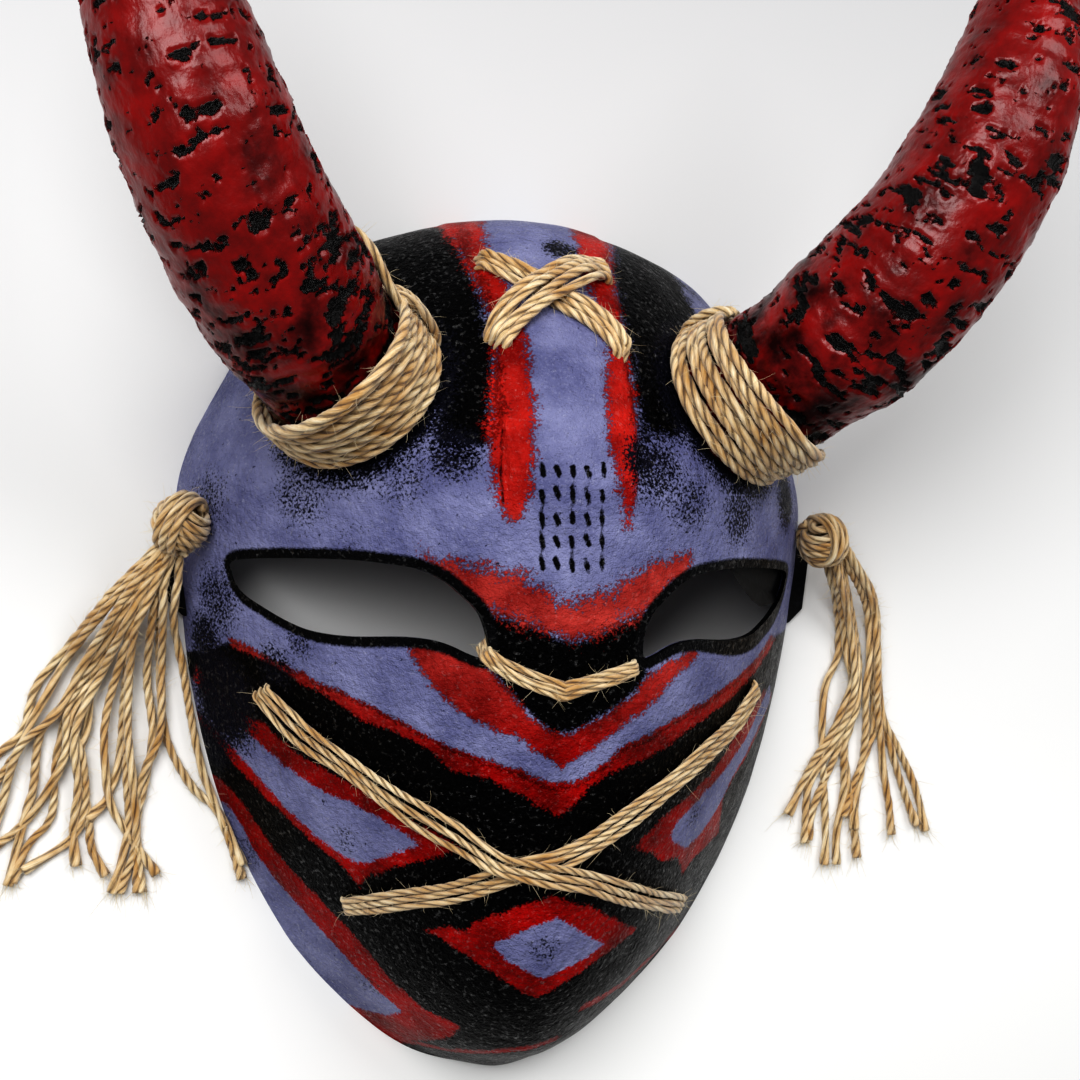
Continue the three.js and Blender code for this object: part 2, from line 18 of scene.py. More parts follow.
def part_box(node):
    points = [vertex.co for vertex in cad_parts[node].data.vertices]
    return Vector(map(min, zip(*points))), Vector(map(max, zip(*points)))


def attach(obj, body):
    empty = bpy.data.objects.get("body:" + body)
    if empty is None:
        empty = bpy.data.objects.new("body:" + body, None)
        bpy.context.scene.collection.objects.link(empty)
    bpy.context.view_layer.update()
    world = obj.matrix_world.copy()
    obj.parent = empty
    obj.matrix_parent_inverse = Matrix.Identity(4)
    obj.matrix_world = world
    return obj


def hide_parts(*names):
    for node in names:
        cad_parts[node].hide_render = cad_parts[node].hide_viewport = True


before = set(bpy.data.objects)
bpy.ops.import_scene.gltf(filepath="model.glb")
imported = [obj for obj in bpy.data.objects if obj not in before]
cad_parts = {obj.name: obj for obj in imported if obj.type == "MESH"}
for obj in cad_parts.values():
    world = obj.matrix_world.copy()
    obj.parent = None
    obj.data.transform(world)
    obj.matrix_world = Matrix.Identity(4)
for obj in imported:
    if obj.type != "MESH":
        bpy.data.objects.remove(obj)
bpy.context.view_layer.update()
print("CAD nodes:", sorted(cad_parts))

# %% [markdown]
# ## Measures of the face
# All making is done in millimetres, measured on the face itself: x from the middle line, y from a
# level a little under the eyes, z from the plane of the rim. The frame counts from the middle of the
# whole part with its tassels, so one shift takes a finished piece to its place. The profile has one
# row for each station from chin to crown, and a smooth curve through the squares of its values closes
# roundly at both ends, which an ordinary spline doesn't.

# %% The face's measures and its height at any spot
MM = 0.001
MASK_LENGTH = 250.0
MASK_HALF_WIDTH = 95.2
MASK_DEPTH = 81.8
WALL = 3.5
CHIN_BELOW_MIDDLE = 112.0
FACE_PROFILE = np.array([
    (0, 0, 0), (0.02, 0.243, 0.2), (0.07, 0.425, 0.518), (0.17, 0.655, 0.752), (0.35, 0.875, 0.889),
    (0.5, 0.962, 0.977), (0.66, 1, 1), (0.82, 0.843, 0.796), (0.93, 0.638, 0.54), (0.985, 0.312, 0.3),
    (1, 0, 0),
])
shell_low, shell_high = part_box("mask_shell")
FACE_TO_FRAME = np.array([
    (shell_low.x + shell_high.x) / 2 / MM,
    shell_low.y / MM + CHIN_BELOW_MIDDLE,
    0,
])
print("the face's middle in the frame, mm:", FACE_TO_FRAME.round(2))


def rounded_profile(column):
    shares = FACE_PROFILE[:, 0]
    squares = FACE_PROFILE[:, column] ** 2
    spans = np.diff(shares)
    slopes = np.diff(squares) / spans
    tangents = np.concatenate((slopes[:1], np.zeros(len(spans) - 1), slopes[-1:]))
    for i in range(1, len(spans)):
        if slopes[i - 1] * slopes[i] > 0:
            before = 2 * spans[i] + spans[i - 1]
            after = spans[i] + 2 * spans[i - 1]
            tangents[i] = (before + after) / (before / slopes[i - 1] + after / slopes[i])

    def at(share):
        share = np.clip(share, 0, 1)
        i = np.clip(np.searchsorted(shares, share, side="right") - 1, 0, len(spans) - 1)
        u = (share - shares[i]) / spans[i]
        ends = squares[i] * (1 + 2 * u) * (1 - u) ** 2 + squares[i + 1] * u * u * (3 - 2 * u)
        bend = u * (1 - u) * spans[i] * (tangents[i] * (1 - u) - tangents[i + 1] * u)
        return np.sqrt(np.maximum(ends + bend, 0))

    return at


width_profile = rounded_profile(1)
height_profile = rounded_profile(2)


def half_width_at(share):
    return MASK_HALF_WIDTH * width_profile(share)


def y_at(share):
    return share * MASK_LENGTH - CHIN_BELOW_MIDDLE


def face_height(x, y):
    share = (np.asarray(y) + CHIN_BELOW_MIDDLE) / MASK_LENGTH
    sideways = np.minimum(np.abs(x) / np.maximum(half_width_at(share), 1e-4), 1)
    across_power = 1.89 + 0.14 * (share - 0.5)
    side_power = 1.16 + 0.7 * (share - 0.5)
    return MASK_DEPTH * height_profile(share) * (1 - sideways ** across_power) ** (1 / side_power)


def on_face(x, y):
    return np.stack((x, y, face_height(x, y)), axis=-1)


def face_normal(x, y, step=0.2):
    slope_x = (face_height(x + step, y) - face_height(x - step, y)) / (2 * step)
    slope_y = (face_height(x, y + step) - face_height(x, y - step)) / (2 * step)
    normal = np.stack((-slope_x, -slope_y, np.ones_like(slope_x)), axis=-1)
    return normal / np.linalg.norm(normal, axis=-1, keepdims=True)


print("height over the rim at the face's middle, mm:", round(float(face_height(0.0, 13.0)), 1))

# %% [markdown]
# ## Camera
# The photograph was taken from over the left tassel's knot, a little under half a metre above the
# table. The camera comes first because it also serves as a ruler: the painted edges were read as
# picture points, and the same camera turns each point back into a spot on the face. A lens of 52 mm
# on a 36 mm sensor gives the photograph's field of view, and the picture counts as 1080 by 1080 points.

# %% The camera, and from a picture point to a spot on the face
PICTURE_SIZE = 1080
SIGHT_LEVELS = 500
LENS = 52.01
SENSOR = 36.0
CAMERA_PLACE = np.array([-106.13, 43.12, 456.24])
CAMERA_TURN = Euler([math.radians(angle) for angle in (-0.185, -14.539, 1.435)])

camera_data = bpy.data.cameras.new("camera")
camera_data.lens = LENS
camera_data.sensor_width = SENSOR
camera = bpy.data.objects.new("camera", camera_data)
camera.location = (CAMERA_PLACE + FACE_TO_FRAME) * MM
camera.rotation_euler = CAMERA_TURN
bpy.context.scene.collection.objects.link(camera)
bpy.context.scene.camera = camera


def seen_at(points):
    """Where the rays through picture points first meet the face, or the floor beside it."""
    across, down = (np.array(points, float) - PICTURE_SIZE / 2).T * SENSOR / PICTURE_SIZE / LENS
    rays = np.stack((across, -down, -np.ones_like(across)), axis=-1)
    rays = rays @ np.array(CAMERA_TURN.to_matrix()).T
    levels = np.linspace(MASK_DEPTH + 2, 0, SIGHT_LEVELS)
    steps = (levels[:, None] - CAMERA_PLACE[2]) / rays[:, 2]
    spots = CAMERA_PLACE + steps[:, :, None] * rays
    below = spots[:, :, 2] <= face_height(spots[:, :, 0], spots[:, :, 1])
    below[-1] = True
    return spots[below.argmax(axis=0), np.arange(len(rays))]


print("the picture's middle falls at, mm:", seen_at([(540, 540)])[0].round(1))

# %% [markdown]
# ## Floor and light
# The mask was photographed on a white table under large soft lights beyond the crown, the stronger one on
# the left, with pale surroundings. A plane, two big area lights and an even grey world give the same calm
# shadows. The floor isn't part of the object.

# %% One function for colours and one for nodes


def linear(hex_colour):
    """An sRGB hex colour as linear values, with an alpha of one."""
    channels = [int(hex_colour[i:i + 2], 16) / 255 for i in (1, 3, 5)]
    return [c / 12.92 if c <= 0.04045 else ((c + 0.055) / 1.055) ** 2.4 for c in channels] + [1.0]


def add(tree, kind, settings, links):
    """A new node. Settings go to its sockets or its own values, links join sockets to it."""
    node = tree.nodes.new("ShaderNode" + kind)
    for name, value in settings.items():
        if isinstance(name, int) or name in node.inputs:
            node.inputs[name].default_value = value
        else:
            setattr(node, name, value)
    for name, source in links.items():
        tree.links.new(source, node.inputs[name])
    return node


def new_material(name):
    """A material with an empty tree and its Principled shader, joined to the output."""
    material = bpy.data.materials.new(name)
    material.use_nodes = True
    tree = material.node_tree
    tree.nodes.clear()
    shader = add(tree, "BsdfPrincipled", {}, {})
    add(tree, "OutputMaterial", {}, {"Surface": shader.outputs["BSDF"]})
    return material, tree, shader


def per_mm(size):
    """The scale of a pattern on metres whose features are this many millimetres wide."""
    return 1 / (size * MM)


def object_place(tree):
    return add(tree, "TexCoord", {}, {}).outputs["Object"]


def grain(tree, place, scale, detail, roughness=0.5):
    """Noise, as one number."""
    settings = {"Scale": scale, "Detail": detail, "Roughness": roughness}
    return add(tree, "TexNoise", settings, {"Vector": place}).outputs["Fac"]


def mapped(tree, value, from_low=0.0, from_high=1.0, low=0.0, high=1.0):
    """A number moved from one range to another, and held at its ends."""
    settings = {"From Min": from_low, "From Max": from_high, "To Min": low, "To Max": high}
    return add(tree, "MapRange", settings, {"Value": value}).outputs[0]


def reckoned(tree, operation, *values):
    """One Math node. Each value is a number or a socket."""
    numbers = {k: value for k, value in enumerate(values) if isinstance(value, (int, float))}
    sockets = {k: value for k, value in enumerate(values) if k not in numbers}
    return add(tree, "Math", {"operation": operation, **numbers}, sockets).outputs[0]


def roughen(tree, shader, height, strength, distance):
    """Bump from a height. The distance is in millimetres."""
    bump = add(tree, "Bump", {"Strength": strength, "Distance": distance * MM}, {"Height": height})
    tree.links.new(bump.outputs["Normal"], shader.inputs["Normal"])


# %% Floor, world and lamps
FLOOR_SIZE = 4.0
SHEET_UNSHADED_TO = -0.12
SHEET_PAINTED_SHADE_FROM = 0.19


def sheet_with_painted_shade():
    """A matt backdrop sheet: white near the viewer, and darkened by painted shade to a light grey beyond
    the crown.
    """
    material, tree, shader = new_material("matt_backdrop_sheet_with_painted_shade")
    place = object_place(tree)
    away = add(tree, "SeparateXYZ", {}, {"Vector": place}).outputs["Y"]
    share = mapped(tree, away, SHEET_UNSHADED_TO, SHEET_PAINTED_SHADE_FROM)
    # Painted shade: the sheet's colour goes from white to light grey beyond the crown.
    painted_shade_tone = add(tree, "ValToRGB", {}, {"Fac": share})
    painted_shade_tone.color_ramp.elements[0].color = linear("#f2f2f1")
    painted_shade_tone.color_ramp.elements[1].color = linear("#bababb")
    tree.links.new(painted_shade_tone.outputs["Color"], shader.inputs["Base Color"])
    shader.inputs["Roughness"].default_value = 0.6
    return material


floor_mesh = bmesh.new()
bmesh.ops.create_grid(floor_mesh, x_segments=1, y_segments=1, size=FLOOR_SIZE / 2)
floor_data = bpy.data.meshes.new("floor")
floor_mesh.to_mesh(floor_data)
floor_mesh.free()
floor_data.materials.append(sheet_with_painted_shade())
floor = bpy.data.objects.new("floor", floor_data)
bpy.context.scene.collection.objects.link(floor)

world = bpy.data.worlds.new("pale_room")
world.use_nodes = True
world.node_tree.nodes["Background"].inputs["Color"].default_value = (1, 1, 1, 1)
world.node_tree.nodes["Background"].inputs["Strength"].default_value = 0.27
bpy.context.scene.world = world


def area_lamp(name, place, aim, size, power):
    data = bpy.data.lights.new(name, "AREA")
    data.shape = "RECTANGLE"
    data.size, data.size_y = size
    data.energy = power
    lamp = bpy.data.objects.new(name, data)
    lamp.location = place
    lamp.rotation_euler = (Vector(aim) - Vector(place)).to_track_quat("-Z", "Y").to_euler()
    bpy.context.scene.collection.objects.link(lamp)


area_lamp("softbox_upper_left", (-0.32, 0.34, 0.86), (0, 0, 0.03), (0.6, 0.5), 6.1)
area_lamp("softbox_upper_right", (0.42, 0.44, 0.76), (0, 0, 0.03), (0.4, 0.4), 2.4)
bpy.context.scene.view_settings.view_transform = "Standard"
bpy.context.scene.view_settings.look = "High Contrast"
print("floor, world and two lamps are in place")

# %% [markdown]
# ## The shell
# The real shell is paper pulp pressed in a mould, cut at the rim and at the eyes, and then painted.
# A line of points from the middle of the face to its edge, spun once round, gives a disc of rings.
# Each ring is then stretched to the rim's outline and lifted to the face's height, so the mesh lies
# evenly over the whole face. Solidify gives the wall its thickness, and a Boolean cuts the eyes.

# %% A disc of rings, laid over the face
RINGS = 108
SPOKES = 396
STRIP_RISE = 1.8
STRIP_START = 0.63
STRIP_FULL = 0.74
STRIP_EDGE = 0.6
STRIP_FADE_FROM = 0.86
STRIP_FADE_TO = 0.97
STRIP_FADE = 0.7
STRIP_OUTLINE = np.array([(8, 0.62), (16, 0.66), (17.5, 0.74), (17, 0.82), (19, 0.9), (24, 1.02)])
PULP_LUMPS = 0.25
PULP_LUMP_SIZE = 11.0


def smooth_step(value, low, high):
    share = np.clip((value - low) / (high - low), 0, 1)
    return share * share * (3 - 2 * share)


def strip_rise(x, y):
    """Height of the strip up the forehead, with an edge about a millimetre wide."""
    share = (y + CHIN_BELOW_MIDDLE) / MASK_LENGTH
    edge = np.interp(share, STRIP_OUTLINE[:, 1], STRIP_OUTLINE[:, 0])
    inside = 1 - smooth_step(np.abs(x), edge - STRIP_EDGE, edge + STRIP_EDGE)
    along = smooth_step(share, STRIP_START, STRIP_FULL)
    along *= 1 - STRIP_FADE * smooth_step(share, STRIP_FADE_FROM, STRIP_FADE_TO)
    return STRIP_RISE * along * inside


def spun_disc():
    disc = bmesh.new()
    spoke = [disc.verts.new((ring / RINGS, 0, 0)) for ring in range(RINGS + 1)]
    line = [disc.edges.new(ends) for ends in zip(spoke, spoke[1:])]
    bmesh.ops.spin(disc, geom=spoke + line, cent=(0, 0, 0), axis=(0, 0, 1), angle=2 * math.pi,
                   steps=SPOKES, use_merge=True)
    bmesh.ops.remove_doubles(disc, verts=disc.verts, dist=1e-5)
    bmesh.ops.recalc_face_normals(disc, faces=disc.faces)
    if sum(face.normal.z for face in disc.faces) < 0:
        bmesh.ops.reverse_faces(disc, faces=disc.faces)
    return disc


def lay_over_face(disc):
    for vertex in disc.verts:
        radius = vertex.co.to_2d().length
        angle = math.atan2(vertex.co.x, vertex.co.y)
        share = (1 - math.cos(angle)) / 2
        rim = (math.copysign(float(half_width_at(share)), math.sin(angle)), float(y_at(share)))
        spread = math.sin(min(radius, 1) * math.pi / 2)
        vertex.co.x = rim[0] * spread
        vertex.co.y = rim[1] * spread + float(y_at(0.5)) * (1 - spread)
    plan = np.array([vertex.co.to_2d() for vertex in disc.verts])
    points = on_face(plan[:, 0], plan[:, 1])
    normals = face_normal(plan[:, 0], plan[:, 1])
    rises = strip_rise(plan[:, 0], plan[:, 1])
    for vertex, point, normal, rise in zip(disc.verts, points, normals, rises):
        if vertex.is_boundary:
            vertex.co = (point[0], point[1], 0)
            continue
        lump = PULP_LUMPS * noise.noise(Vector(point) / PULP_LUMP_SIZE)
        vertex.co = Vector(point) + Vector(normal) * (rise + lump)


shell = spun_disc()
lay_over_face(shell)
print("disc laid over the face:", len(shell.faces), "faces")

# %% Give the wall its thickness


def object_from(mesh, name):
    """A new object in the frame from a bmesh that was made in face millimetres."""
    data = bpy.data.meshes.new(name)
    mesh.to_mesh(data)
    mesh.free()
    made = bpy.data.objects.new(name, data)
    bpy.context.scene.collection.objects.link(made)
    return made


bmesh.ops.solidify(shell, geom=shell.faces, thickness=WALL)
shell.verts.ensure_lookup_table()
for vertex in shell.verts:
    vertex.co.z = max(vertex.co.z, 0)
face_object = object_from(shell, "painted_face")
spread = np.ptp([vertex.co for vertex in face_object.data.vertices], axis=0)
print("shell", len(face_object.data.polygons), "faces, size", spread.round(1))

# %% Cut the eyes
EYE_OUTLINE = [
    (21, 14.5), (20.4, 18.5), (21, 22), (23, 26.3), (26.8, 30), (31.3, 33.7), (36.4, 36), (41, 37),
    (56, 38.2), (79, 37.2), (80.5, 33.5), (78, 28.5), (72, 24.3), (66, 21), (60.5, 19.1), (52, 18.3),
    (39, 18.9), (31, 18), (24.5, 15.3),
]


def smooth_line(points, step, closed=False):
    """A curve through the points, as new points that lie one step apart."""
    points = np.array(points, float)
    padded = np.vstack((points[-1:], points, points[:2])) if closed else np.vstack((
        2 * points[:1] - points[1:2], points, 2 * points[-1:] - points[-2:-1]))
    u = np.linspace(0, 1, 24, endpoint=False)[:, None]
    parts = []
    for a, b, c, d in zip(padded, padded[1:], padded[2:], padded[3:]):
        parts.append(0.5 * (2 * b + (c - a) * u + (2 * a - 5 * b + 4 * c - d) * u ** 2
                            + (3 * b - a - 3 * c + d) * u ** 3))
    line = np.vstack(parts + [points[:1] if closed else points[-1:]])
    along = np.concatenate(([0], np.cumsum(np.linalg.norm(np.diff(line, axis=0), axis=1))))
    count = max(int(round(along[-1] / step)), 2)
    at = np.linspace(0, along[-1], count + 1)
    return np.stack([np.interp(at, along, line[:, k]) for k in range(line.shape[1])], axis=1)


EYE_CUT_FROM = -20
EYE_CUT_HEIGHT = 140


def eye_cutter(side):
    outline = smooth_line(EYE_OUTLINE, 1.2, closed=True)[:-1]
    cutter = bmesh.new()
    ring = [cutter.verts.new((side * x, y, EYE_CUT_FROM)) for x, y in outline]
    bottom = cutter.faces.new(ring)
    lifted = bmesh.ops.extrude_face_region(cutter, geom=[bottom])["geom"]
    raised = [part for part in lifted if isinstance(part, bmesh.types.BMVert)]
    bmesh.ops.translate(cutter, vec=(0, 0, EYE_CUT_HEIGHT), verts=raised)
    bmesh.ops.recalc_face_normals(cutter, faces=cutter.faces)
    return object_from(cutter, "eye_cutter")


def applied(piece):
    """The piece's mesh with its modifiers worked in."""
    evaluated = piece.evaluated_get(bpy.context.evaluated_depsgraph_get())
    data = bpy.data.meshes.new_from_object(evaluated)
    piece.modifiers.clear()
    piece.data = data


for side in (-1, 1):
    cutter = eye_cutter(side)
    cut = face_object.modifiers.new("eye", "BOOLEAN")
    cut.operation = "DIFFERENCE"
    cut.solver = "MANIFOLD"
    cut.object = cutter
    applied(face_object)
    bpy.data.objects.remove(cutter)
print("shell with its eyes:", len(face_object.data.polygons), "faces")

# %% [markdown]
# ## Where the paint lies
# The pattern is four coats: black, red, lavender again inside some of the red, and last thin black
# lines. The ground under them all is lavender. Every coat is stored on the mesh as one number per
# point: how many millimetres it lies inside that coat's edge, divided by how soft the edge was
# brushed. The material adds noise to that number before it decides, so an edge can be crisp on the
# cheeks and broken and dry on the forehead, and stays finer than the mesh. Outlines are picture
# points, read with the camera above.

# %% Outlines of the black coat
CROWN_BLACK_LEFT = [
    (340, 300), (372, 236), (400, 222), (448, 222), (466, 256), (486, 310), (494, 350), (497, 400),
    (494, 440), (470, 455), (440, 445), (430, 400), (380, 330),
]
CROWN_BLACK_RIGHT = [
    (606, 238), (640, 246), (668, 262), (684, 292), (700, 330), (690, 380), (700, 430), (672, 440),
    (640, 440), (636, 400), (626, 350), (616, 300), (608, 270),
]
NOSE_BLACK = [
    (443, 581), (475, 610), (520, 622), (551, 634), (573, 642), (594, 636), (624, 622), (655, 608),
    (690, 592), (668, 615), (645, 655), (645, 679), (635, 693), (604, 716), (584, 726), (569, 734),
    (551, 732), (531, 716), (502, 683), (488, 660), (480, 630), (462, 600),
]
LOWER_BLACK = [
    (150, 650), (200, 652), (232, 642), (252, 650), (284, 666), (321, 686), (369, 708), (418, 734),
    (468, 758), (522, 776), (551, 788), (573, 788), (594, 776), (626, 749), (654, 736), (687, 716),
    (721, 694), (752, 668), (771, 640), (830, 620), (860, 1100), (100, 1100),
]
BLACK_COAT = [
    (CROWN_BLACK_LEFT, 3.5), (CROWN_BLACK_RIGHT, 4.0), (NOSE_BLACK, 1.6), (LOWER_BLACK, 1.0),
]

# %% Outlines of the red coat
STREAK_LEFT = [
    (424, 222), (470, 222), (486, 262), (512, 296), (524, 335), (534, 400), (535, 450), (531, 490),
    (520, 520), (508, 524), (500, 502), (492, 470), (486, 440), (488, 400), (494, 360), (492, 325),
    (476, 285), (452, 245),
]
STREAK_RIGHT = [
    (556, 224), (600, 234), (609, 268), (616, 300), (625, 345), (634, 400), (638, 450), (636, 500),
    (629, 526), (619, 500), (612, 470), (606, 430), (604, 395), (606, 360), (600, 325), (588, 296),
    (578, 262),
]
BROW_RED = [
    (420, 556), (450, 560), (488, 569), (531, 581), (555, 595), (575, 605), (604, 595), (635, 575),
    (665, 559), (688, 556), (692, 570), (671, 589), (655, 608), (624, 622), (594, 636), (573, 642),
    (551, 634), (520, 622), (475, 610), (443, 583),
]
UPPER_V = [
    (404, 643), (430, 646), (474, 650), (502, 683), (531, 716), (551, 732), (569, 734), (584, 726),
    (604, 716), (635, 693), (645, 679), (664, 664), (698, 648), (696, 656), (675, 677), (655, 701),
    (624, 725), (594, 747), (573, 762), (561, 769), (543, 756), (526, 741), (496, 731), (471, 717),
    (451, 704), (426, 680),
]
SECOND_V = [
    (228, 636), (252, 647), (284, 663), (321, 683), (369, 705), (418, 731), (468, 754), (522, 771),
    (551, 783), (573, 783), (594, 771), (626, 744), (654, 731), (687, 712), (721, 690), (752, 664),
    (771, 636), (776, 638), (760, 666), (728, 701), (698, 722), (665, 748), (614, 773), (590, 785),
    (575, 803), (558, 815), (539, 806), (518, 795), (490, 780), (464, 773), (451, 772), (429, 748),
    (397, 733), (362, 720), (332, 700), (293, 678), (254, 655), (232, 648),
]
CHEEK_RED_LEFT = [
    (196, 664), (223, 692), (236, 707), (262, 722), (293, 750), (336, 776), (388, 804), (418, 824),
    (440, 835), (462, 849), (436, 857), (401, 865), (364, 878), (361, 889), (345, 869), (327, 854),
    (293, 824), (262, 793), (232, 763), (208, 733), (188, 716),
]
CHEEK_RED_RIGHT = [
    (764, 690), (750, 716), (734, 740), (708, 777), (687, 796), (665, 816), (645, 835), (632, 848),
    (650, 853), (661, 861), (676, 857), (683, 873), (695, 857), (719, 832), (722, 800), (732, 780),
    (747, 755), (760, 729), (772, 694),
]
JAW_RED = [
    (190, 770), (217, 776), (234, 791), (260, 828), (288, 867), (314, 893), (349, 930), (371, 955),
    (393, 982), (423, 1008), (460, 1026), (452, 1036), (400, 1044), (340, 1022), (270, 960),
    (220, 880), (190, 810),
]
DIAMOND_RED = [
    (552, 896), (590, 906), (637, 930), (600, 958), (560, 985), (537, 998), (510, 985), (485, 968),
    (462, 952), (440, 938), (421, 930), (445, 926), (468, 930), (473, 922), (512, 908),
]
RED_COAT = [
    (STREAK_LEFT, 2.2), (STREAK_RIGHT, 2.2), (BROW_RED, 3.2), (UPPER_V, 1.4), (SECOND_V, 1.0),
    (CHEEK_RED_LEFT, 1.0), (CHEEK_RED_RIGHT, 1.0), (JAW_RED, 1.0), (DIAMOND_RED, 0.9),
]

# %% Outlines of the lavender on top, and the thin lines
CHEEK_LAVENDER_LEFT = [
    (190, 676), (204, 692), (234, 715), (252, 737), (284, 765), (319, 789), (358, 806), (397, 830),
    (422, 846), (401, 851), (371, 863), (353, 862), (319, 839), (284, 806), (252, 770), (219, 735),
    (190, 706),
]
CHEEK_LAVENDER_RIGHT = [
    (770, 684), (763, 699), (743, 744), (728, 766), (695, 803), (678, 820), (669, 837), (685, 849),
    (702, 831), (717, 809), (730, 781), (743, 759), (756, 733), (770, 700),
]
JAW_LAVENDER = [
    (190, 790), (221, 800), (236, 815), (254, 850), (273, 876), (293, 900), (332, 941), (349, 960),
    (372, 985), (403, 1012), (385, 1015), (365, 1010), (335, 1004), (280, 950), (220, 870), (196, 820),
]
DIAMOND_LAVENDER = [
    (558, 916), (580, 932), (606, 944), (575, 963), (542, 979), (507, 962), (491, 944), (520, 932),
]
LAVENDER_COAT = [
    (CHEEK_LAVENDER_LEFT, 1.0), (CHEEK_LAVENDER_RIGHT, 1.0), (JAW_LAVENDER, 1.0),
    (DIAMOND_LAVENDER, 0.8),
]
CHIN_STREAK = [(398, 1040), (450, 1050), (500, 1051), (553, 1040)]
RIM_STREAK = [(722, 872), (684, 930), (629, 978), (585, 1006)]
CRACK = [(500, 378), (503, 420), (500, 465), (503, 506)]
BRUSH_ROWS = [466, 489, 512, 535, 558]
BRUSH_COLUMNS = [542, 557, 572, 587, 602]
BRUSH_HEIGHT = 10
BRUSH_SLANT = 2
RED_LINES = [(CHIN_STREAK, 1.6, 1.2), (RIM_STREAK, 1.8, 1.0)]


def brush_rows():
    """Rows of short upright brush strokes in the middle of the forehead."""
    strokes = []
    for row, top in enumerate(BRUSH_ROWS):
        for column, left in enumerate(BRUSH_COLUMNS):
            lean = BRUSH_SLANT * (1 if column % 2 else 0.4)
            drop = (row * 3 + column * 5) % 4
            strokes.append([(left - lean, top + drop), (left + lean, top + drop + BRUSH_HEIGHT)])
    return strokes


BLACK_LINES = [(CRACK, 0.28, 0.5)] + [(stroke, 0.7, 0.4) for stroke in brush_rows()]
print(len(BLACK_LINES), "thin black lines")

# %% [markdown]
# ## From outlines to numbers on the mesh
# A distance is measured in space to the line laid on the face, so it stays true on the steep sides.
# Whether a point is inside is asked in plan, where the face has no overhang. Dark speckle over the lavender
# comes from a handful of round dabs that fade outwards, and from a ring that fades out round each horn's
# foot.

# %% Distances to lines on the face
OUTLINE_STEP = 2.5
DEEPEST = 8.0


def line_on_face(points, closed):
    spots = seen_at(points)[:, :2]
    if closed:
        spots = np.vstack((spots, spots[:1]))
    parts = [spots[:1]]
    for start, end in zip(spots, spots[1:]):
        count = max(int(np.linalg.norm(end - start) / OUTLINE_STEP), 1)
        parts.append(start + (end - start) * np.linspace(0, 1, count + 1)[1:, None])
    plan = np.vstack(parts)
    return on_face(plan[:, 0], plan[:, 1])


def distance_to_line(points, line):
    nearest = np.full(len(points), np.inf)
    for start, end in zip(line, line[1:]):
        way = end - start
        along = np.clip((points - start) @ way / max(way @ way, 1e-9), 0, 1)
        nearest = np.minimum(nearest, np.linalg.norm(points - start - along[:, None] * way, axis=1))
    return nearest


def inside_outline(points, line):
    inside = np.zeros(len(points), bool)
    for start, end in zip(line, line[1:]):
        crosses = (start[1] > points[:, 1]) != (end[1] > points[:, 1])
        rise = end[1] - start[1] if end[1] != start[1] else 1e-9
        at = start[0] + (points[:, 1] - start[1]) * (end[0] - start[0]) / rise
        inside ^= crosses & (points[:, 0] < at)
    return inside


def coat(points, outlines, lines=()):
    """How far each point lies inside a coat, in units of the softness of the nearest edge."""
    depth = np.full(len(points), -DEEPEST)
    for outline, softness in outlines:
        line = line_on_face(outline, closed=True)
        distance = distance_to_line(points, line)
        signed = np.where(inside_outline(points, line), distance, -distance)
        depth = np.maximum(depth, signed / softness)
    for stroke, half_width, softness in lines:
        distance = distance_to_line(points, line_on_face(stroke, closed=False))
        depth = np.maximum(depth, (half_width - distance) / softness)
    return np.clip(depth, -DEEPEST, DEEPEST)


points = np.array([vertex.co for vertex in face_object.data.vertices])
strip_rises = strip_rise(points[:, 0], points[:, 1])
points -= face_normal(points[:, 0], points[:, 1]) * strip_rises[:, None]
print(len(points), "mesh points to paint, taken back to the level of the face")

# %% Horn feet, eye edges and dark speckle
HORN_LENGTH = 174.0
HORN_FOOT_RADIUS = 23.8
HORN_PLACE = (0.568, 0.772)
HORN_SUNK = 5.2
HORN_BEND = np.array([(0, 0, 0), (0.219, 0.136, 0.346), (0.335, 0.416, 0.408), (0.374, 0.7515, 0.281)])
EYE_BORDER = 2.6
EYE_BORDER_OUTER_LOWER = 2.2
DARK_SPECKLE_DABS = [
    ((218, 600), 18, 0.55), ((205, 640), 15, 0.75), ((275, 668), 12, 0.6), ((300, 640), 9, 0.5),
    ((208, 500), 16, 0.45), ((300, 492), 16, 0.5), ((400, 470), 16, 0.45), ((455, 452), 13, 0.7),
    ((350, 540), 10, 0.25), ((560, 252), 9, 0.8), ((655, 468), 18, 0.6), ((690, 500), 15, 0.5),
    ((740, 516), 15, 0.6), ((786, 498), 16, 0.85), ((690, 290), 9, 0.5), ((640, 460), 10, 0.8),
    ((222, 700), 24, 1.0), ((212, 735), 18, 0.8), ((250, 850), 10, 0.4), ((545, 950), 8, 0.4),
    ((345, 838), 8, 0.35), ((695, 815), 9, 0.4), ((370, 985), 10, 0.35), ((780, 590), 10, 0.5),
    ((560, 520), 8, 0.2),
]


def horn_root(side):
    share = HORN_PLACE[1]
    x = side * HORN_PLACE[0] * float(half_width_at(share))
    y = float(y_at(share))
    return np.array([x, y, float(face_height(x, y)) - HORN_SUNK])


def foot_ring(points, side):
    """Distance of each point from the line through the middle of a horn's foot."""
    axis = HORN_BEND[1] * (side, 1, 1)
    axis = axis / np.linalg.norm(axis)
    arm = points - horn_root(side)
    return np.linalg.norm(arm - (arm @ axis)[:, None] * axis, axis=1)


def eye_edges(points):
    """How far each point lies inside the black border of the nearest eye."""
    depth = np.full(len(points), -DEEPEST)
    for side in (-1, 1):
        outline = smooth_line(EYE_OUTLINE, 1.5, closed=True) * (side, 1)
        line = on_face(outline[:, 0], outline[:, 1])
        border = np.full(len(points), EYE_BORDER)
        low = smooth_step(-points[:, 1], -34, -20) * smooth_step(points[:, 0], 30, 60)
        border += EYE_BORDER_OUTER_LOWER * low
        depth = np.maximum(depth, border - distance_to_line(points, line))
    return depth


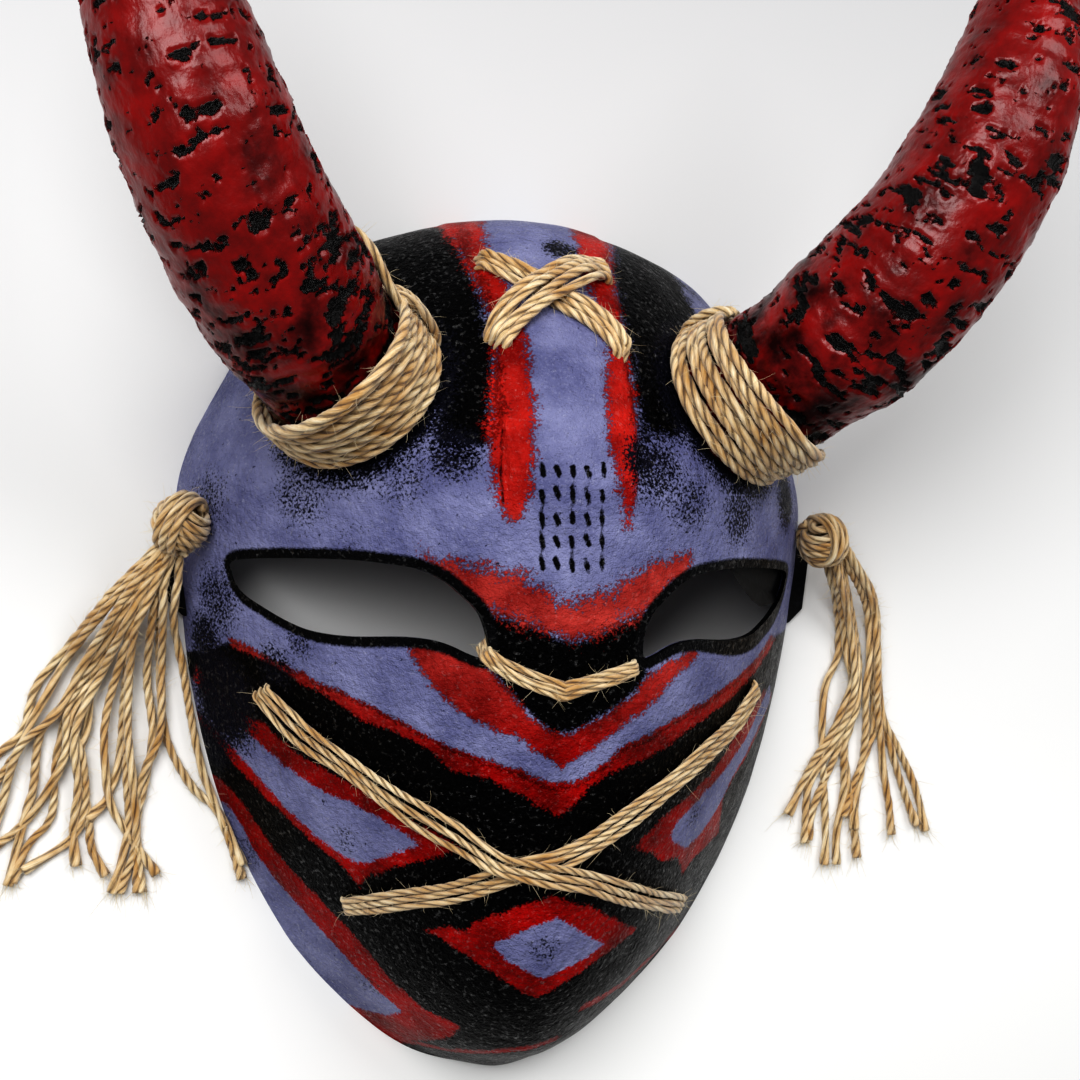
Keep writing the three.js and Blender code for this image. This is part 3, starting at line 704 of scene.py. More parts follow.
def dark_speckle(points):
    amount = np.zeros(len(points))
    for picture_point, reach, strength in DARK_SPECKLE_DABS:
        away = np.linalg.norm(points - seen_at([picture_point])[0], axis=1)
        amount = np.maximum(amount, strength * (1 - smooth_step(away, reach * 0.2, reach)))
    # Round each horn's foot the dark speckle is a ring that fades out over 10 mm beside the winding.
    for side in (-1, 1):
        ring = foot_ring(points, side)
        amount = np.maximum(amount, 0.65 * (1 - smooth_step(ring, HORN_FOOT_RADIUS, HORN_FOOT_RADIUS + 10)))
    return amount


black = coat(points, BLACK_COAT)
for side in (-1, 1):
    black = np.maximum(black, (HORN_FOOT_RADIUS + 0.5 - foot_ring(points, side)) / 2.5)
red = coat(points, RED_COAT, RED_LINES)
lavender = coat(points, LAVENDER_COAT)
borders = np.clip(eye_edges(points), -DEEPEST, DEEPEST)
lines = np.maximum(coat(points, [], BLACK_LINES), borders)
shares = [round(float((depth > 0).mean()), 2) for depth in (black, red, lavender)]
print("share under black, red, top lavender:", *shares)

# %% Store the coats, and tell the painted side from the inside


def store(data, name, values):
    attribute = data.attributes.new(name, "FLOAT", "POINT")
    attribute.data.foreach_set("value", np.asarray(values, np.float32))


for name, values in (("black_coat", black), ("red_coat", red), ("lavender_coat", lavender),
                     ("thin_lines", lines), ("dark_speckle", dark_speckle(points))):
    store(face_object.data, name, values)

centres = np.array([polygon.center for polygon in face_object.data.polygons])
depths = face_height(centres[:, 0], centres[:, 1]) - centres[:, 2]
facing = np.array([polygon.normal for polygon in face_object.data.polygons])
away = (facing * face_normal(centres[:, 0], centres[:, 1])).sum(axis=1) < -0.2
inner = (away & (depths > 0)).astype(np.int32)
face_object.data.polygons.foreach_set("material_index", inner)
print(int(inner.sum()), "faces inside")

# %% [markdown]
# ## Brushed acrylic on papier-mache
# The paint is matt to half gloss acrylic over a rough gesso ground. That gives three things to see: a
# fine orange-peel bump that breaks up each highlight, edges that crumble where a dry brush skipped
# over the bump, and coats thick enough to leave a lip. All three come from the same few noises, so
# the colour and the bump agree.

# %% The painted material
BRISTLE = 0.75
GRIT = 0.4
ORANGE_PEEL = 1.7
WRINKLE = 2.6


def stencil(tree, attribute, ragged, gain):
    """Where a coat covers: its stored number, made ragged and then cut at zero."""
    edge = add(tree, "Attribute", {"attribute_name": attribute}, {})
    moved = reckoned(tree, "ADD", edge.outputs["Fac"], ragged)
    span = 1 / gain
    return mapped(tree, moved, -span, span)


def tint(tree, factor, under, over):
    """One colour over another by a factor; each is a hex colour or a socket."""
    node = add(tree, "Mix", {"data_type": "RGBA"}, {0: factor})
    for index, colour in ((6, under), (7, over)):
        if isinstance(colour, str):
            node.inputs[index].default_value = linear(colour)
        else:
            tree.links.new(colour, node.inputs[index])
    return node.outputs[2]


def brushed_acrylic_on_pulp():
    material, tree, shader = new_material("brushed_acrylic_on_papier_mache")
    place = object_place(tree)
    bristle = grain(tree, place, per_mm(BRISTLE), 5.0, 0.62)
    grit = grain(tree, place, per_mm(GRIT), 2.0)
    cloud = grain(tree, place, per_mm(16), 4.0, 0.6)
    wobble = grain(tree, place, per_mm(5), 3.0)
    ragged_fine = mapped(tree, bristle, low=-2.4, high=2.4)
    ragged = mapped(tree, wobble, low=-1.3, high=1.3)
    ragged = reckoned(tree, "ADD", ragged_fine, ragged)

    speckle_amount = add(tree, "Attribute", {"attribute_name": "dark_speckle"}, {})
    speckle_level = reckoned(tree, "MULTIPLY_ADD", speckle_amount.outputs["Fac"], 0.42, -0.13)
    dark_speckle_mask = mapped(tree, reckoned(tree, "ADD", bristle, speckle_level), 0.52, 0.64)
    worn = mapped(tree, cloud, 0.36, 0.66)

    ground = tint(tree, worn, "#63658b", "#8587ab")
    pale = mapped(tree, bristle, 0.56, 0.8)
    ground = tint(tree, pale, ground, "#9a9bbb")
    fleck = grain(tree, place, per_mm(2.2), 3.0, 0.7)
    fleck = mapped(tree, fleck, 0.67, 0.72)
    ground = tint(tree, fleck, ground, "#2a2b42")

    black_mask = stencil(tree, "black_coat", ragged, 3)
    grey_dust = mapped(tree, bristle, 0.6, 0.78)
    blacks = tint(tree, grey_dust, "#010102", "#0e0f14")
    colour = tint(tree, black_mask, ground, blacks)

    red_mask = stencil(tree, "red_coat", ragged, 3)
    level = add(tree, "SeparateXYZ", {}, {"Vector": place}).outputs["Y"]
    chalky = mapped(tree, level, -60 * MM, -25 * MM)
    bright = mapped(tree, level, -8 * MM, 4 * MM)
    deep = tint(tree, worn, "#600302", "#a60d0b")
    chalk = tint(tree, worn, "#7d1f1c", "#bb443d")
    strong = tint(tree, worn, "#7a100e", "#c22b23")
    reds = tint(tree, chalky, deep, chalk)
    reds = tint(tree, bright, reds, strong)
    reds = tint(tree, pale, reds, "#b5403c")
    colour = tint(tree, red_mask, colour, reds)

    top_mask = stencil(tree, "lavender_coat", ragged, 3)
    colour = tint(tree, top_mask, colour, ground)
    colour = tint(tree, dark_speckle_mask, colour, "#13131d")
    fine = mapped(tree, bristle, low=-0.9, high=0.9)
    line_mask = stencil(tree, "thin_lines", fine, 3)
    colour = tint(tree, line_mask, colour, "#0b0b0d")
    tree.links.new(colour, shader.inputs["Base Color"])

    sheen = mapped(tree, wobble, 0.3, 0.7, 0.22, 0.38)
    tree.links.new(sheen, shader.inputs["Roughness"])
    peel = grain(tree, place, per_mm(ORANGE_PEEL), 3.0, 0.55)
    ridge = grain(tree, place, per_mm(1.2), 3.0)
    glint = mapped(tree, ridge, 0.58, 0.74, 0.04, 0.8)
    tree.links.new(glint, shader.inputs["Specular IOR Level"])
    slant = add(tree, "Mapping", {"Rotation": (0, 0, 0.7), "Scale": (1, 0.28, 1)}, {"Vector": place})
    wrinkle = grain(tree, slant.outputs[0], per_mm(WRINKLE), 3.0)
    height = reckoned(tree, "MULTIPLY", peel, 1.0)
    height = reckoned(tree, "MULTIPLY_ADD", grit, 0.35, height)
    wrinkled = reckoned(tree, "MULTIPLY", wrinkle, black_mask)
    height = reckoned(tree, "MULTIPLY_ADD", wrinkled, 0.5, height)
    height = reckoned(tree, "MULTIPLY_ADD", black_mask, 0.35, height)
    height = reckoned(tree, "MULTIPLY_ADD", red_mask, 0.3, height)
    height = reckoned(tree, "MULTIPLY_ADD", line_mask, 0.3, height)
    roughen(tree, shader, height, 1.0, 1.3)
    return material


def blackened_pulp():
    """Pressed paper pulp under one thin coat of black: soft mottling and a felted bump."""
    material, tree, shader = new_material("blackened_pressed_paper_pulp")
    place = object_place(tree)
    mottle = grain(tree, place, per_mm(7), 4.0)
    felt = grain(tree, place, per_mm(1.4), 4.0)
    colour = tint(tree, mottle, "#050506", "#1b1a1a")
    tree.links.new(colour, shader.inputs["Base Color"])
    roughen(tree, shader, felt, 0.7, 0.4)
    shader.inputs["Roughness"].default_value = 0.9
    return material


def finish_piece(piece, slot, *nodes):
    """Takes a piece from face millimetres to its place in the frame, and hands it to the frame."""
    coordinates = np.array([vertex.co for vertex in piece.data.vertices])
    coordinates = (coordinates + FACE_TO_FRAME) * MM
    piece.data.vertices.foreach_set("co", coordinates.ravel())
    piece.data.update()
    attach(piece, "root")
    if nodes:
        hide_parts(*nodes)
    triangles = sum(len(polygon.vertices) - 2 for polygon in piece.data.polygons)
    print(piece.name, "has", triangles, "triangles")


face_object.data.materials.clear()
face_object.data.materials.append(brushed_acrylic_on_pulp())
face_object.data.materials.append(blackened_pulp())
face_object.data.polygons.foreach_set("use_smooth", np.ones(len(face_object.data.polygons), bool))
face_object.data.set_sharp_from_angle(angle=math.radians(42))
finish_piece(face_object, "painted_shell", "mask_shell")

# %% [markdown]
# ## The tabs at the rim
# A short tab of the same black painted board stands out under each tassel. It takes the strap on the
# inside, so only its edge shows. The strap's torn end hangs behind the outer corner of the right eye.

# %% Two bevelled tabs and the strap's torn end
TAB_REACH = 4.5
TAB_THICKNESS = 3.0
TAB_FROM = 0.53
TAB_TO = 0.66
STRAP_END = [(728, 566), (792, 560), (789, 598), (771, 604), (760, 607), (752, 600), (742, 588)]
STRAP_BEHIND = 3.6
STRAP_THICKNESS = 1.0


def strap_end(tabs):
    """A flat end of strap a little way behind the face, seen through the eye."""
    front = seen_at(STRAP_END)
    rays = front - CAMERA_PLACE
    rays /= np.linalg.norm(rays, axis=1, keepdims=True)
    near = [tabs.verts.new(spot) for spot in front + rays * STRAP_BEHIND]
    far = [tabs.verts.new(spot) for spot in front + rays * (STRAP_BEHIND + STRAP_THICKNESS)]
    middle_near = tabs.verts.new(sum((v.co for v in near), Vector()) / len(near))
    middle_far = tabs.verts.new(sum((v.co for v in far), Vector()) / len(far))
    for i in range(len(near)):
        after = (i + 1) % len(near)
        tabs.faces.new((near[i], near[after], middle_near))
        tabs.faces.new((far[after], far[i], middle_far))
        tabs.faces.new((near[after], near[i], far[i], far[after]))


def side_tabs():
    tabs = bmesh.new()
    for side in (-1, 1):
        inner = [side * (float(half_width_at(share)) - WALL) for share in (TAB_FROM, TAB_TO)]
        outer = [side * (float(half_width_at(share)) + TAB_REACH) for share in (TAB_FROM, TAB_TO)]
        low, high = float(y_at(TAB_FROM)), float(y_at(TAB_TO))
        outline = [(inner[0], low), (side * float(half_width_at(TAB_FROM)), low),
                   (outer[0], low + TAB_REACH), (outer[1], high - TAB_REACH), (inner[1], high)]
        sheet = tabs.faces.new([tabs.verts.new((x, y, 0)) for x, y in outline])
        lifted = bmesh.ops.extrude_face_region(tabs, geom=[sheet])["geom"]
        raised = [part for part in lifted if isinstance(part, bmesh.types.BMVert)]
        bmesh.ops.translate(tabs, vec=(0, 0, TAB_THICKNESS), verts=raised)
    bmesh.ops.recalc_face_normals(tabs, faces=tabs.faces)
    bmesh.ops.bevel(tabs, geom=tabs.edges, offset=0.5, segments=2, profile=0.5, affect="EDGES", material=-1)
    strap_end(tabs)
    bmesh.ops.recalc_face_normals(tabs, faces=tabs.faces)
    return object_from(tabs, "side_tabs")


def black_painted_board():
    """Board under black acrylic: half matt, a little scuffed to grey, with a faint bump."""
    material, tree, shader = new_material("black_painted_board")
    place = object_place(tree)
    scuff = grain(tree, place, per_mm(1.5), 5.0)
    worn = mapped(tree, scuff, 0.5, 0.8)
    tree.links.new(tint(tree, worn, "#050506", "#18191d"), shader.inputs["Base Color"])
    roughen(tree, shader, scuff, 0.5, 0.2)
    shader.inputs["Roughness"].default_value = 0.6
    shader.inputs["Specular IOR Level"].default_value = 0.15
    return material


tabs_object = side_tabs()
tabs_object.data.materials.append(black_painted_board())
finish_piece(tabs_object, "painted_shell", "mask_shell")

# %% [markdown]
# ## Sweeping a section along a line
# The horns and all of the twine are one shape with different sections: a closed outline carried along
# a curve. Blender does that with a curve object whose bevel is another curve. The radius of each point
# scales the section, and its tilt turns it, which is just how a plied twine gets its twist. Turned
# into a mesh, the points come ring by ring, so a piece can also be told how far along each ring lies.

# %% A swept mesh


def section_curve(outline):
    data = bpy.data.curves.new("section", "CURVE")
    data.dimensions = "2D"
    spline = data.splines.new("POLY")
    spline.points.add(len(outline) - 1)
    for point, (x, y) in zip(spline.points, outline):
        point.co = (x, y, 0, 1)
    spline.use_cyclic_u = True
    made = bpy.data.objects.new("section", data)
    bpy.context.scene.collection.objects.link(made)
    return made


def swept(name, outline, runs):
    """A mesh for all runs. A run is (points, radii, tilts), each with one entry per ring."""
    section = section_curve(outline)
    data = bpy.data.curves.new(name, "CURVE")
    data.dimensions = "3D"
    data.bevel_mode = "OBJECT"
    data.bevel_object = section
    data.twist_mode = "MINIMUM"
    for line, radii, tilts in runs:
        spline = data.splines.new("POLY")
        spline.points.add(len(line) - 1)
        spline.points.foreach_set("co", np.column_stack((line, np.ones(len(line)))).ravel())
        spline.points.foreach_set("radius", np.asarray(radii, float))
        spline.points.foreach_set("tilt", np.asarray(tilts, float))
    curve = bpy.data.objects.new(name, data)
    bpy.context.scene.collection.objects.link(curve)
    graph = bpy.context.evaluated_depsgraph_get()
    mesh = bpy.data.meshes.new_from_object(curve.evaluated_get(graph))
    mesh.name = name
    bpy.data.objects.remove(curve)
    bpy.data.objects.remove(section)
    for layer in list(mesh.uv_layers):
        mesh.uv_layers.remove(layer)
    made = bpy.data.objects.new(name, mesh)
    bpy.context.scene.collection.objects.link(made)
    return made


def close_ends(piece):
    """Fills the open end of each swept run, with the faces outwards."""
    mesh = bmesh.new()
    mesh.from_mesh(piece.data)
    bmesh.ops.holes_fill(mesh, edges=[edge for edge in mesh.edges if edge.is_boundary])
    bmesh.ops.recalc_face_normals(mesh, faces=mesh.faces)
    mesh.to_mesh(piece.data)
    mesh.free()
    piece.data.polygons.foreach_set("use_smooth", np.ones(len(piece.data.polygons), bool))


# %% [markdown]
# ## The horns
# Each horn is carved wood under thick red lacquer, pitted as if the lacquer had boiled: ragged holes a
# few millimetres wide, longer round the horn than along it, black and rough inside. They are deep
# enough to catch the light, so they are pressed into the mesh and not only painted. The pits crowd
# towards the foot, where the red is also stained black. The line starts a tenth of the horn below its
# root, so no gap shows at the foot; that buried part goes through the wall and ends in the hollow.

# %% The line and thickness of a horn
HORN_UPPER_RADIUS = 16.8
HORN_TIP_SHARE = 0.98
HORN_TIP_POWER = 6
HORN_BURIED_SHARE = -0.1
HORN_NECK = 2.6
HORN_SIDES = 230
HORN_RING_STEP = 0.75


def horn_line(side, shares):
    control = HORN_BEND * (side, 1, 1) * HORN_LENGTH + horn_root(side)
    t = np.asarray(shares)[:, None]
    a, b, c, d = control
    return a * (1 - t) ** 3 + 3 * b * t * (1 - t) ** 2 + 3 * c * t * t * (1 - t) + d * t ** 3


def horn_radius(t):
    upper = HORN_UPPER_RADIUS / HORN_FOOT_RADIUS
    taper = (1 - upper) * t
    tip = upper * HORN_TIP_SHARE * np.maximum(t, 0) ** HORN_TIP_POWER
    neck = HORN_NECK * (1 - smooth_step(t, 0.13, 0.24))
    return HORN_FOOT_RADIUS * (1 - taper - tip) - neck


def horn_rings(side):
    """Shares along the horn, closer together where it closes at the tip."""
    fine = np.linspace(HORN_BURIED_SHARE, 1, 2000)
    line = horn_line(side, fine)
    radius = horn_radius(fine)
    steps = np.hypot(np.linalg.norm(np.diff(line, axis=0), axis=1), np.diff(radius))
    along = np.concatenate(([0], np.cumsum(steps)))
    count = int(along[-1] / HORN_RING_STEP)
    return np.interp(np.linspace(0, along[-1], count), along, fine)


print("rings in a horn:", len(horn_rings(1)))

# %% Pits and lumps
PIT_DEPTH = 1.2
LUMP_HEIGHT = 0.8
LIP_HEIGHT = 0.18
SMOOTH_BELOW_RADIUS = 8


def pit_amount(wrap, share, seed):
    """Above zero in a pit. The place is measured round the horn and along it."""
    spot = Vector((wrap[0] / 6.2, wrap[1] / 6.2, wrap[2] / 2.5 + seed))
    ragged = Vector((wrap[0] / 1.3, wrap[1] / 1.3, wrap[2] / 0.8 + seed))
    field = Vector((wrap[0] / 15, wrap[1] / 15, wrap[2] / 11 + seed))
    crease = Vector((wrap[0] / 6, wrap[1] / 6, wrap[2] / 1.2 + seed))
    near_foot = max(0.0, 1 - share / 0.45)
    value = noise.noise(spot) + 0.5 * noise.noise(spot * 2.2) + 0.4 * noise.noise(ragged)
    value += 0.6 * near_foot * noise.noise(crease)
    crowding = 0.45 * noise.noise(field) + 0.27 * near_foot
    return (value + crowding - 0.36) / 0.10


def lump(wrap, seed):
    slow = noise.noise(Vector((wrap[0] / 15, wrap[1] / 15, wrap[2] / 11 + seed)))
    quick = noise.noise(Vector((wrap[0] / 7, wrap[1] / 7, wrap[2] / 2.8 + seed)))
    return LUMP_HEIGHT * slow + 0.45 * LUMP_HEIGHT * quick


def pitted_horn(name, side):
    shares = horn_rings(side)
    angles = np.linspace(0, 2 * math.pi, HORN_SIDES, endpoint=False)
    circle = [(math.cos(angle), math.sin(angle)) for angle in angles]
    line = horn_line(side, shares)
    radii = np.maximum(horn_radius(shares), 0.2)
    horn = swept(name, circle, [(line, radii, np.zeros(len(line)))])
    along = np.concatenate(([0], np.cumsum(np.linalg.norm(np.diff(line, axis=0), axis=1))))
    seed = 40.0 + 20.0 * side
    pits, wraps = [], []
    for i, vertex in enumerate(horn.data.vertices):
        ring = i // HORN_SIDES
        angle = angles[i % HORN_SIDES]
        wrap = (radii[ring] * math.cos(angle), radii[ring] * math.sin(angle), along[ring])
        pit = pit_amount(wrap, shares[ring], seed)
        outwards = (vertex.co - Vector(line[ring])).normalized()
        sunk = PIT_DEPTH * float(smooth_step(pit, -0.4, 1.6))
        lip = LIP_HEIGHT * math.exp(-(pit + 1.2) ** 2)
        fade = min(1.0, radii[ring] / SMOOTH_BELOW_RADIUS)
        vertex.co += outwards * fade * (lump(wrap, seed) + lip - sunk)
        pits.append(pit)
        wraps.append(wrap)
    close_ends(horn)
    store(horn.data, "pit", np.clip(pits, -DEEPEST, DEEPEST))
    store(horn.data, "along_horn", [shares[i // HORN_SIDES] for i in range(len(pits))])
    attribute = horn.data.attributes.new("wrap", "FLOAT_VECTOR", "POINT")
    attribute.data.foreach_set("vector", np.array(wraps, np.float32).ravel())
    return horn


horns = {name: pitted_horn("pitted_" + name, side) for name, side in (("horn_left", -1), ("horn_right", 1))}
pit_values = [entry.value for entry in horns["horn_left"].data.attributes["pit"].data]
print("share of pits on the left horn:", round(float(np.mean(np.array(pit_values) > 0)), 2))

# %% [markdown]
# ## Boiled red lacquer
# Lacquer is a glossy, slightly orange-peeled skin. Here it is deep crimson where it is thick, brighter
# where it ran thin, and stained black towards the foot and in the pits. The pit number on the mesh
# gets a fine noise, so that the rim of each pit is torn.

# %% The lacquer material


def boiled_red_lacquer():
    material, tree, shader = new_material("boiled_red_lacquer_on_wood")
    wrap = add(tree, "Attribute", {"attribute_name": "wrap"}, {}).outputs["Vector"]
    torn = grain(tree, wrap, 1 / 0.9, 4.0, 0.65)
    runs = grain(tree, wrap, 1 / 9, 4.0, 0.6)
    peel = grain(tree, wrap, 1 / 2.4, 3.0)
    shift = mapped(tree, torn, low=-2.6, high=2.6)
    pit = stencil(tree, "pit", shift, 1.6)
    along = add(tree, "Attribute", {"attribute_name": "along_horn"}, {}).outputs["Fac"]
    stain_level = mapped(tree, along, 0.05, 0.42, 0.2, -0.2)
    stain = reckoned(tree, "ADD", runs, stain_level)
    stain = mapped(tree, stain, 0.44, 0.74)
    thin = mapped(tree, runs, 0.3, 0.7)
    reds = tint(tree, thin, "#8a0504", "#520202")
    reds = tint(tree, stain, reds, "#1f0102")
    colour = tint(tree, pit, reds, "#030202")
    tree.links.new(colour, shader.inputs["Base Color"])
    rough = mapped(tree, pit, low=0.3, high=0.24)
    tree.links.new(rough, shader.inputs["Roughness"])
    height = reckoned(tree, "MULTIPLY", peel, 0.6)
    crumbs = reckoned(tree, "MULTIPLY", torn, pit)
    height = reckoned(tree, "MULTIPLY_ADD", crumbs, 3.4, height)
    roughen(tree, shader, height, 1.0, 0.5)
    gloss = mapped(tree, stain, low=0.4, high=0.16)
    gloss = reckoned(tree, "MULTIPLY_ADD", pit, 0.12, gloss)
    tree.links.new(gloss, shader.inputs["Specular IOR Level"])
    return material


lacquer = boiled_red_lacquer()
for name, horn in horns.items():
    horn.data.materials.append(lacquer)
    finish_piece(horn, "red_lacquer", name)

# %% [markdown]
# ## Jute twine
# The twine is three plies twisted together, 2.6 mm thick unless a piece has a thickness of its own,
# with one full twist every 17 mm.
# The section has three lobes with a groove between them, and the tilt along the line turns it, so the
# plies are real ridges. Loose fibres stand off all along it; they are very thin swept lines of their
# own, gathered in one piece for each twine.

# %% Plied twine along any line
TWINE = 2.6
TWINE_STEP = 0.75
PLIES = 3
PLY_PITCH = 17.0
SECTION_POINTS = 12
GROOVE = 0.22
fibre_luck = random.Random(7)


def plied_section():
    outline = []
    for i in range(SECTION_POINTS):
        angle = 2 * math.pi * i / SECTION_POINTS
        lobe = abs(math.cos(PLIES * angle / 2))
        radius = 1 - GROOVE + GROOVE * lobe
        outline.append((radius * math.cos(angle), radius * math.sin(angle)))
    return outline


def twine_run(line, thickness=TWINE, swell=0.14):
    """Rings for one strand: its line at even steps, a thickness that wavers, and the twist."""
    line = smooth_line(line, TWINE_STEP)
    along = np.arange(len(line)) * TWINE_STEP
    phase = fibre_luck.uniform(0, 2 * math.pi)
    waver = [noise.noise(Vector((s / 7, phase, 0))) for s in along]
    slack = [noise.noise(Vector((s / 25, phase, 9))) for s in along]
    radii = thickness / 2 * (1 + swell * np.array(waver))
    tilts = phase + 2 * math.pi * along / PLY_PITCH + 4 * np.array(slack)
    return line, radii, tilts


def twine_piece(name, runs, material):
    piece = swept(name, plied_section(), runs)
    rings = np.concatenate([np.arange(len(line)) * TWINE_STEP for line, _, _ in runs])
    luck = np.concatenate([np.full(len(line), fibre_luck.random() * 50) for line, _, _ in runs])
    angles = 2 * math.pi * np.arange(SECTION_POINTS) / SECTION_POINTS
    lobes = np.abs(np.cos(PLIES * angles / 2))
    count = len(rings)
    close_ends(piece)
    store(piece.data, "ply_height", np.tile(lobes, count))
    strand = np.column_stack((
        np.tile(np.cos(angles), count), np.tile(np.sin(angles), count), np.repeat(rings, SECTION_POINTS)))
    strand[:, 0] += np.repeat(luck, SECTION_POINTS)
    attribute = piece.data.attributes.new("strand", "FLOAT_VECTOR", "POINT")
    attribute.data.foreach_set("vector", strand.astype(np.float32).ravel())
    piece.data.materials.append(material)
    return piece


print("twine section points:", len(plied_section()))

# %% Loose fibres
FIBRE_THICKNESS = 0.1
FIBRE_EVERY = 1.3


def fibre(start, direction, length):
    """A short curling line with four points, thinner at its tip."""
    curl = Vector([fibre_luck.uniform(-1, 1) for _ in range(3)]) * length * 0.6
    points = [start + direction * length * share + curl * share * share for share in (0, 0.35, 0.7, 1)]
    points = [(p.x, p.y, max(p.z, FIBRE_THICKNESS)) for p in points]
    return np.array(points), FIBRE_THICKNESS / 2 * np.array((1.0, 0.9, 0.7, 0.35)), np.zeros(4)


def square_to(way):
    """A unit vector in any direction at a right angle to the way."""
    aside = Vector([fibre_luck.gauss(0, 1) for _ in range(3)])
    return (aside - way * aside.dot(way)).normalized()


def fibres_for(name, runs, material, every=FIBRE_EVERY, longest=4.5, fan=0):
    """Three of four fibres lie almost along their strand, and a fan of them ends a frayed strand."""
    hairs = []
    for line, radii, _ in runs:
        for k in range(int(len(line) * TWINE_STEP / every)):
            at = fibre_luck.randrange(1, len(line) - 1)
            way = Vector(line[at + 1] - line[at - 1]).normalized()
            aside = square_to(way)
            reach = 0.9 if k % 4 == 0 else 0.25
            direction = (aside * reach + way * fibre_luck.uniform(-1.2, 1.2)).normalized()
            start = Vector(line[at]) + aside * radii[at] * 0.8
            hairs.append(fibre(start, direction, fibre_luck.uniform(1.2, longest)))
        for _ in range(fan):
            way = Vector(line[-1] - line[-3]).normalized()
            aside = square_to(way)
            direction = (way + aside * fibre_luck.uniform(0.1, 0.7)).normalized()
            start = Vector(line[-2]) + aside * radii[-1] * 0.6
            hairs.append(fibre(start, direction, fibre_luck.uniform(2.0, longest * 1.4)))
    corners = [(math.cos(angle), math.sin(angle)) for angle in (0, 2.094, 4.189)]
    piece = swept(name, corners, hairs)
    piece.data.polygons.foreach_set("use_smooth", np.ones(len(piece.data.polygons), bool))
    close_ends(piece)
    piece.data.materials.append(material)
    return piece


# %% The twine's materials
def plied_jute():
    """Jute with painted light on top of each ply and painted shade in the grooves, both from the ply
    height, and streaks of the fibres' own colour along it.
    """
    material, tree, shader = new_material("plied_natural_jute")
    strand = add(tree, "Attribute", {"attribute_name": "strand"}, {}).outputs["Vector"]
    height = add(tree, "Attribute", {"attribute_name": "ply_height"}, {}).outputs["Fac"]
    drawn = add(tree, "Mapping", {"Scale": (4.0, 4.0, 0.3)}, {"Vector": strand})
    streak = grain(tree, drawn.outputs[0], 1.0, 4.0, 0.65)
    patch = grain(tree, strand, 0.09, 2.0)
    # Painted light and shade: the ply height lightens the top of each ply and darkens the grooves, added to
    # the streaks.
    painted_ply_light_and_streak = reckoned(tree, "MULTIPLY_ADD", height, 0.5, streak)
    painted_ply_light_and_streak = mapped(tree, painted_ply_light_and_streak, 0.52, 1.16)
    ramp = add(tree, "ValToRGB", {}, {"Fac": painted_ply_light_and_streak})
    ramp.color_ramp.elements[0].color = linear("#6a5230")
    ramp.color_ramp.elements[1].color = linear("#fff5da")
    middle = ramp.color_ramp.elements.new(0.5)
    middle.color = linear("#e8cc9a")
    shade = mapped(tree, patch, 0.35, 0.65)
    browner = add(tree, "Mix", {"data_type": "RGBA", "blend_type": "MULTIPLY", 7: linear("#d5b88a")},
                  {0: shade, 6: ramp.outputs["Color"]})
    colour = browner.outputs[2]
    tree.links.new(colour, shader.inputs["Base Color"])
    roughen(tree, shader, streak, 1.0, 0.45)
    shader.inputs["Roughness"].default_value = 0.42
    shader.inputs["Sheen Weight"].default_value = 0.4
    return material


def loose_jute():
    """Single fibres: pale straw, a little darker in places."""
    material, tree, shader = new_material("loose_jute_fibre")
    place = object_place(tree)
    vary = grain(tree, place, per_mm(3), 1.0)
    tree.links.new(tint(tree, vary, "#c0aa7f", "#fbf0d2"), shader.inputs["Base Color"])
    shader.inputs["Roughness"].default_value = 0.6
    return material


jute = plied_jute()
jute_fibre = loose_jute()
print("twine materials made")

# %% [markdown]
# ## Twine round the horns' feet
# One length of twine goes eight times round each foot. Towards the nose the turns lie side by
# side, and towards the crown they crowd and climb over each other. The line of a turn is a circle
# round the horn's axis, moved along the axis to where the face comes out beside it. On the left, two
# strands leave the knot, climb the horn and go round behind it.

# %% Winding lines
WINDING_TWINE = 3.0
WINDING_TURNS = 8
POINTS_IN_TURN = 28
WINDING_WIDE = {-1: 33.0, 1: 27.0}
WINDING_NARROW = 8.0
WINDING_RADIUS = HORN_FOOT_RADIUS - HORN_NECK
WINDING_WIDE_ANGLE = math.radians(285)
WINDING_EASE = 0.8
WINDING_DOUBLING = 2.1


def beside_axis(side, axis, angle, radius):
    """The way from a horn's axis to a point beside it, at an angle round the axis."""
    first = np.cross(axis, (0, 0, 1))
    first = first / np.linalg.norm(first) * side
    second = np.cross(axis, first) * side
    return radius * (first * math.cos(angle) + second * math.sin(angle))


def around_foot(side, angle, radius, distance):
    axis = HORN_BEND[1] * (side, 1, 1)
    axis = axis / np.linalg.norm(axis)
    return horn_root(side) + axis * distance + beside_axis(side, axis, angle, radius)


def foot_distance(side, angle, radius):
    """How far along the horn's axis a line beside it comes out of the face."""
    low, high = -2 * HORN_FOOT_RADIUS, 2 * HORN_FOOT_RADIUS
    for _ in range(24):
        middle = (low + high) / 2
        point = around_foot(side, angle, radius, middle)
        if point[2] < face_height(point[0], point[1]):
            low = middle
        else:
            high = middle
    return low


def winding_reach(side, angle):
    """How wide the winding is at an angle, as a share of its widest and in millimetres."""
    wide = ((1 + math.cos(angle - WINDING_WIDE_ANGLE)) / 2) ** WINDING_EASE
    return wide, WINDING_NARROW + (WINDING_WIDE[side] - WINDING_NARROW) * wide


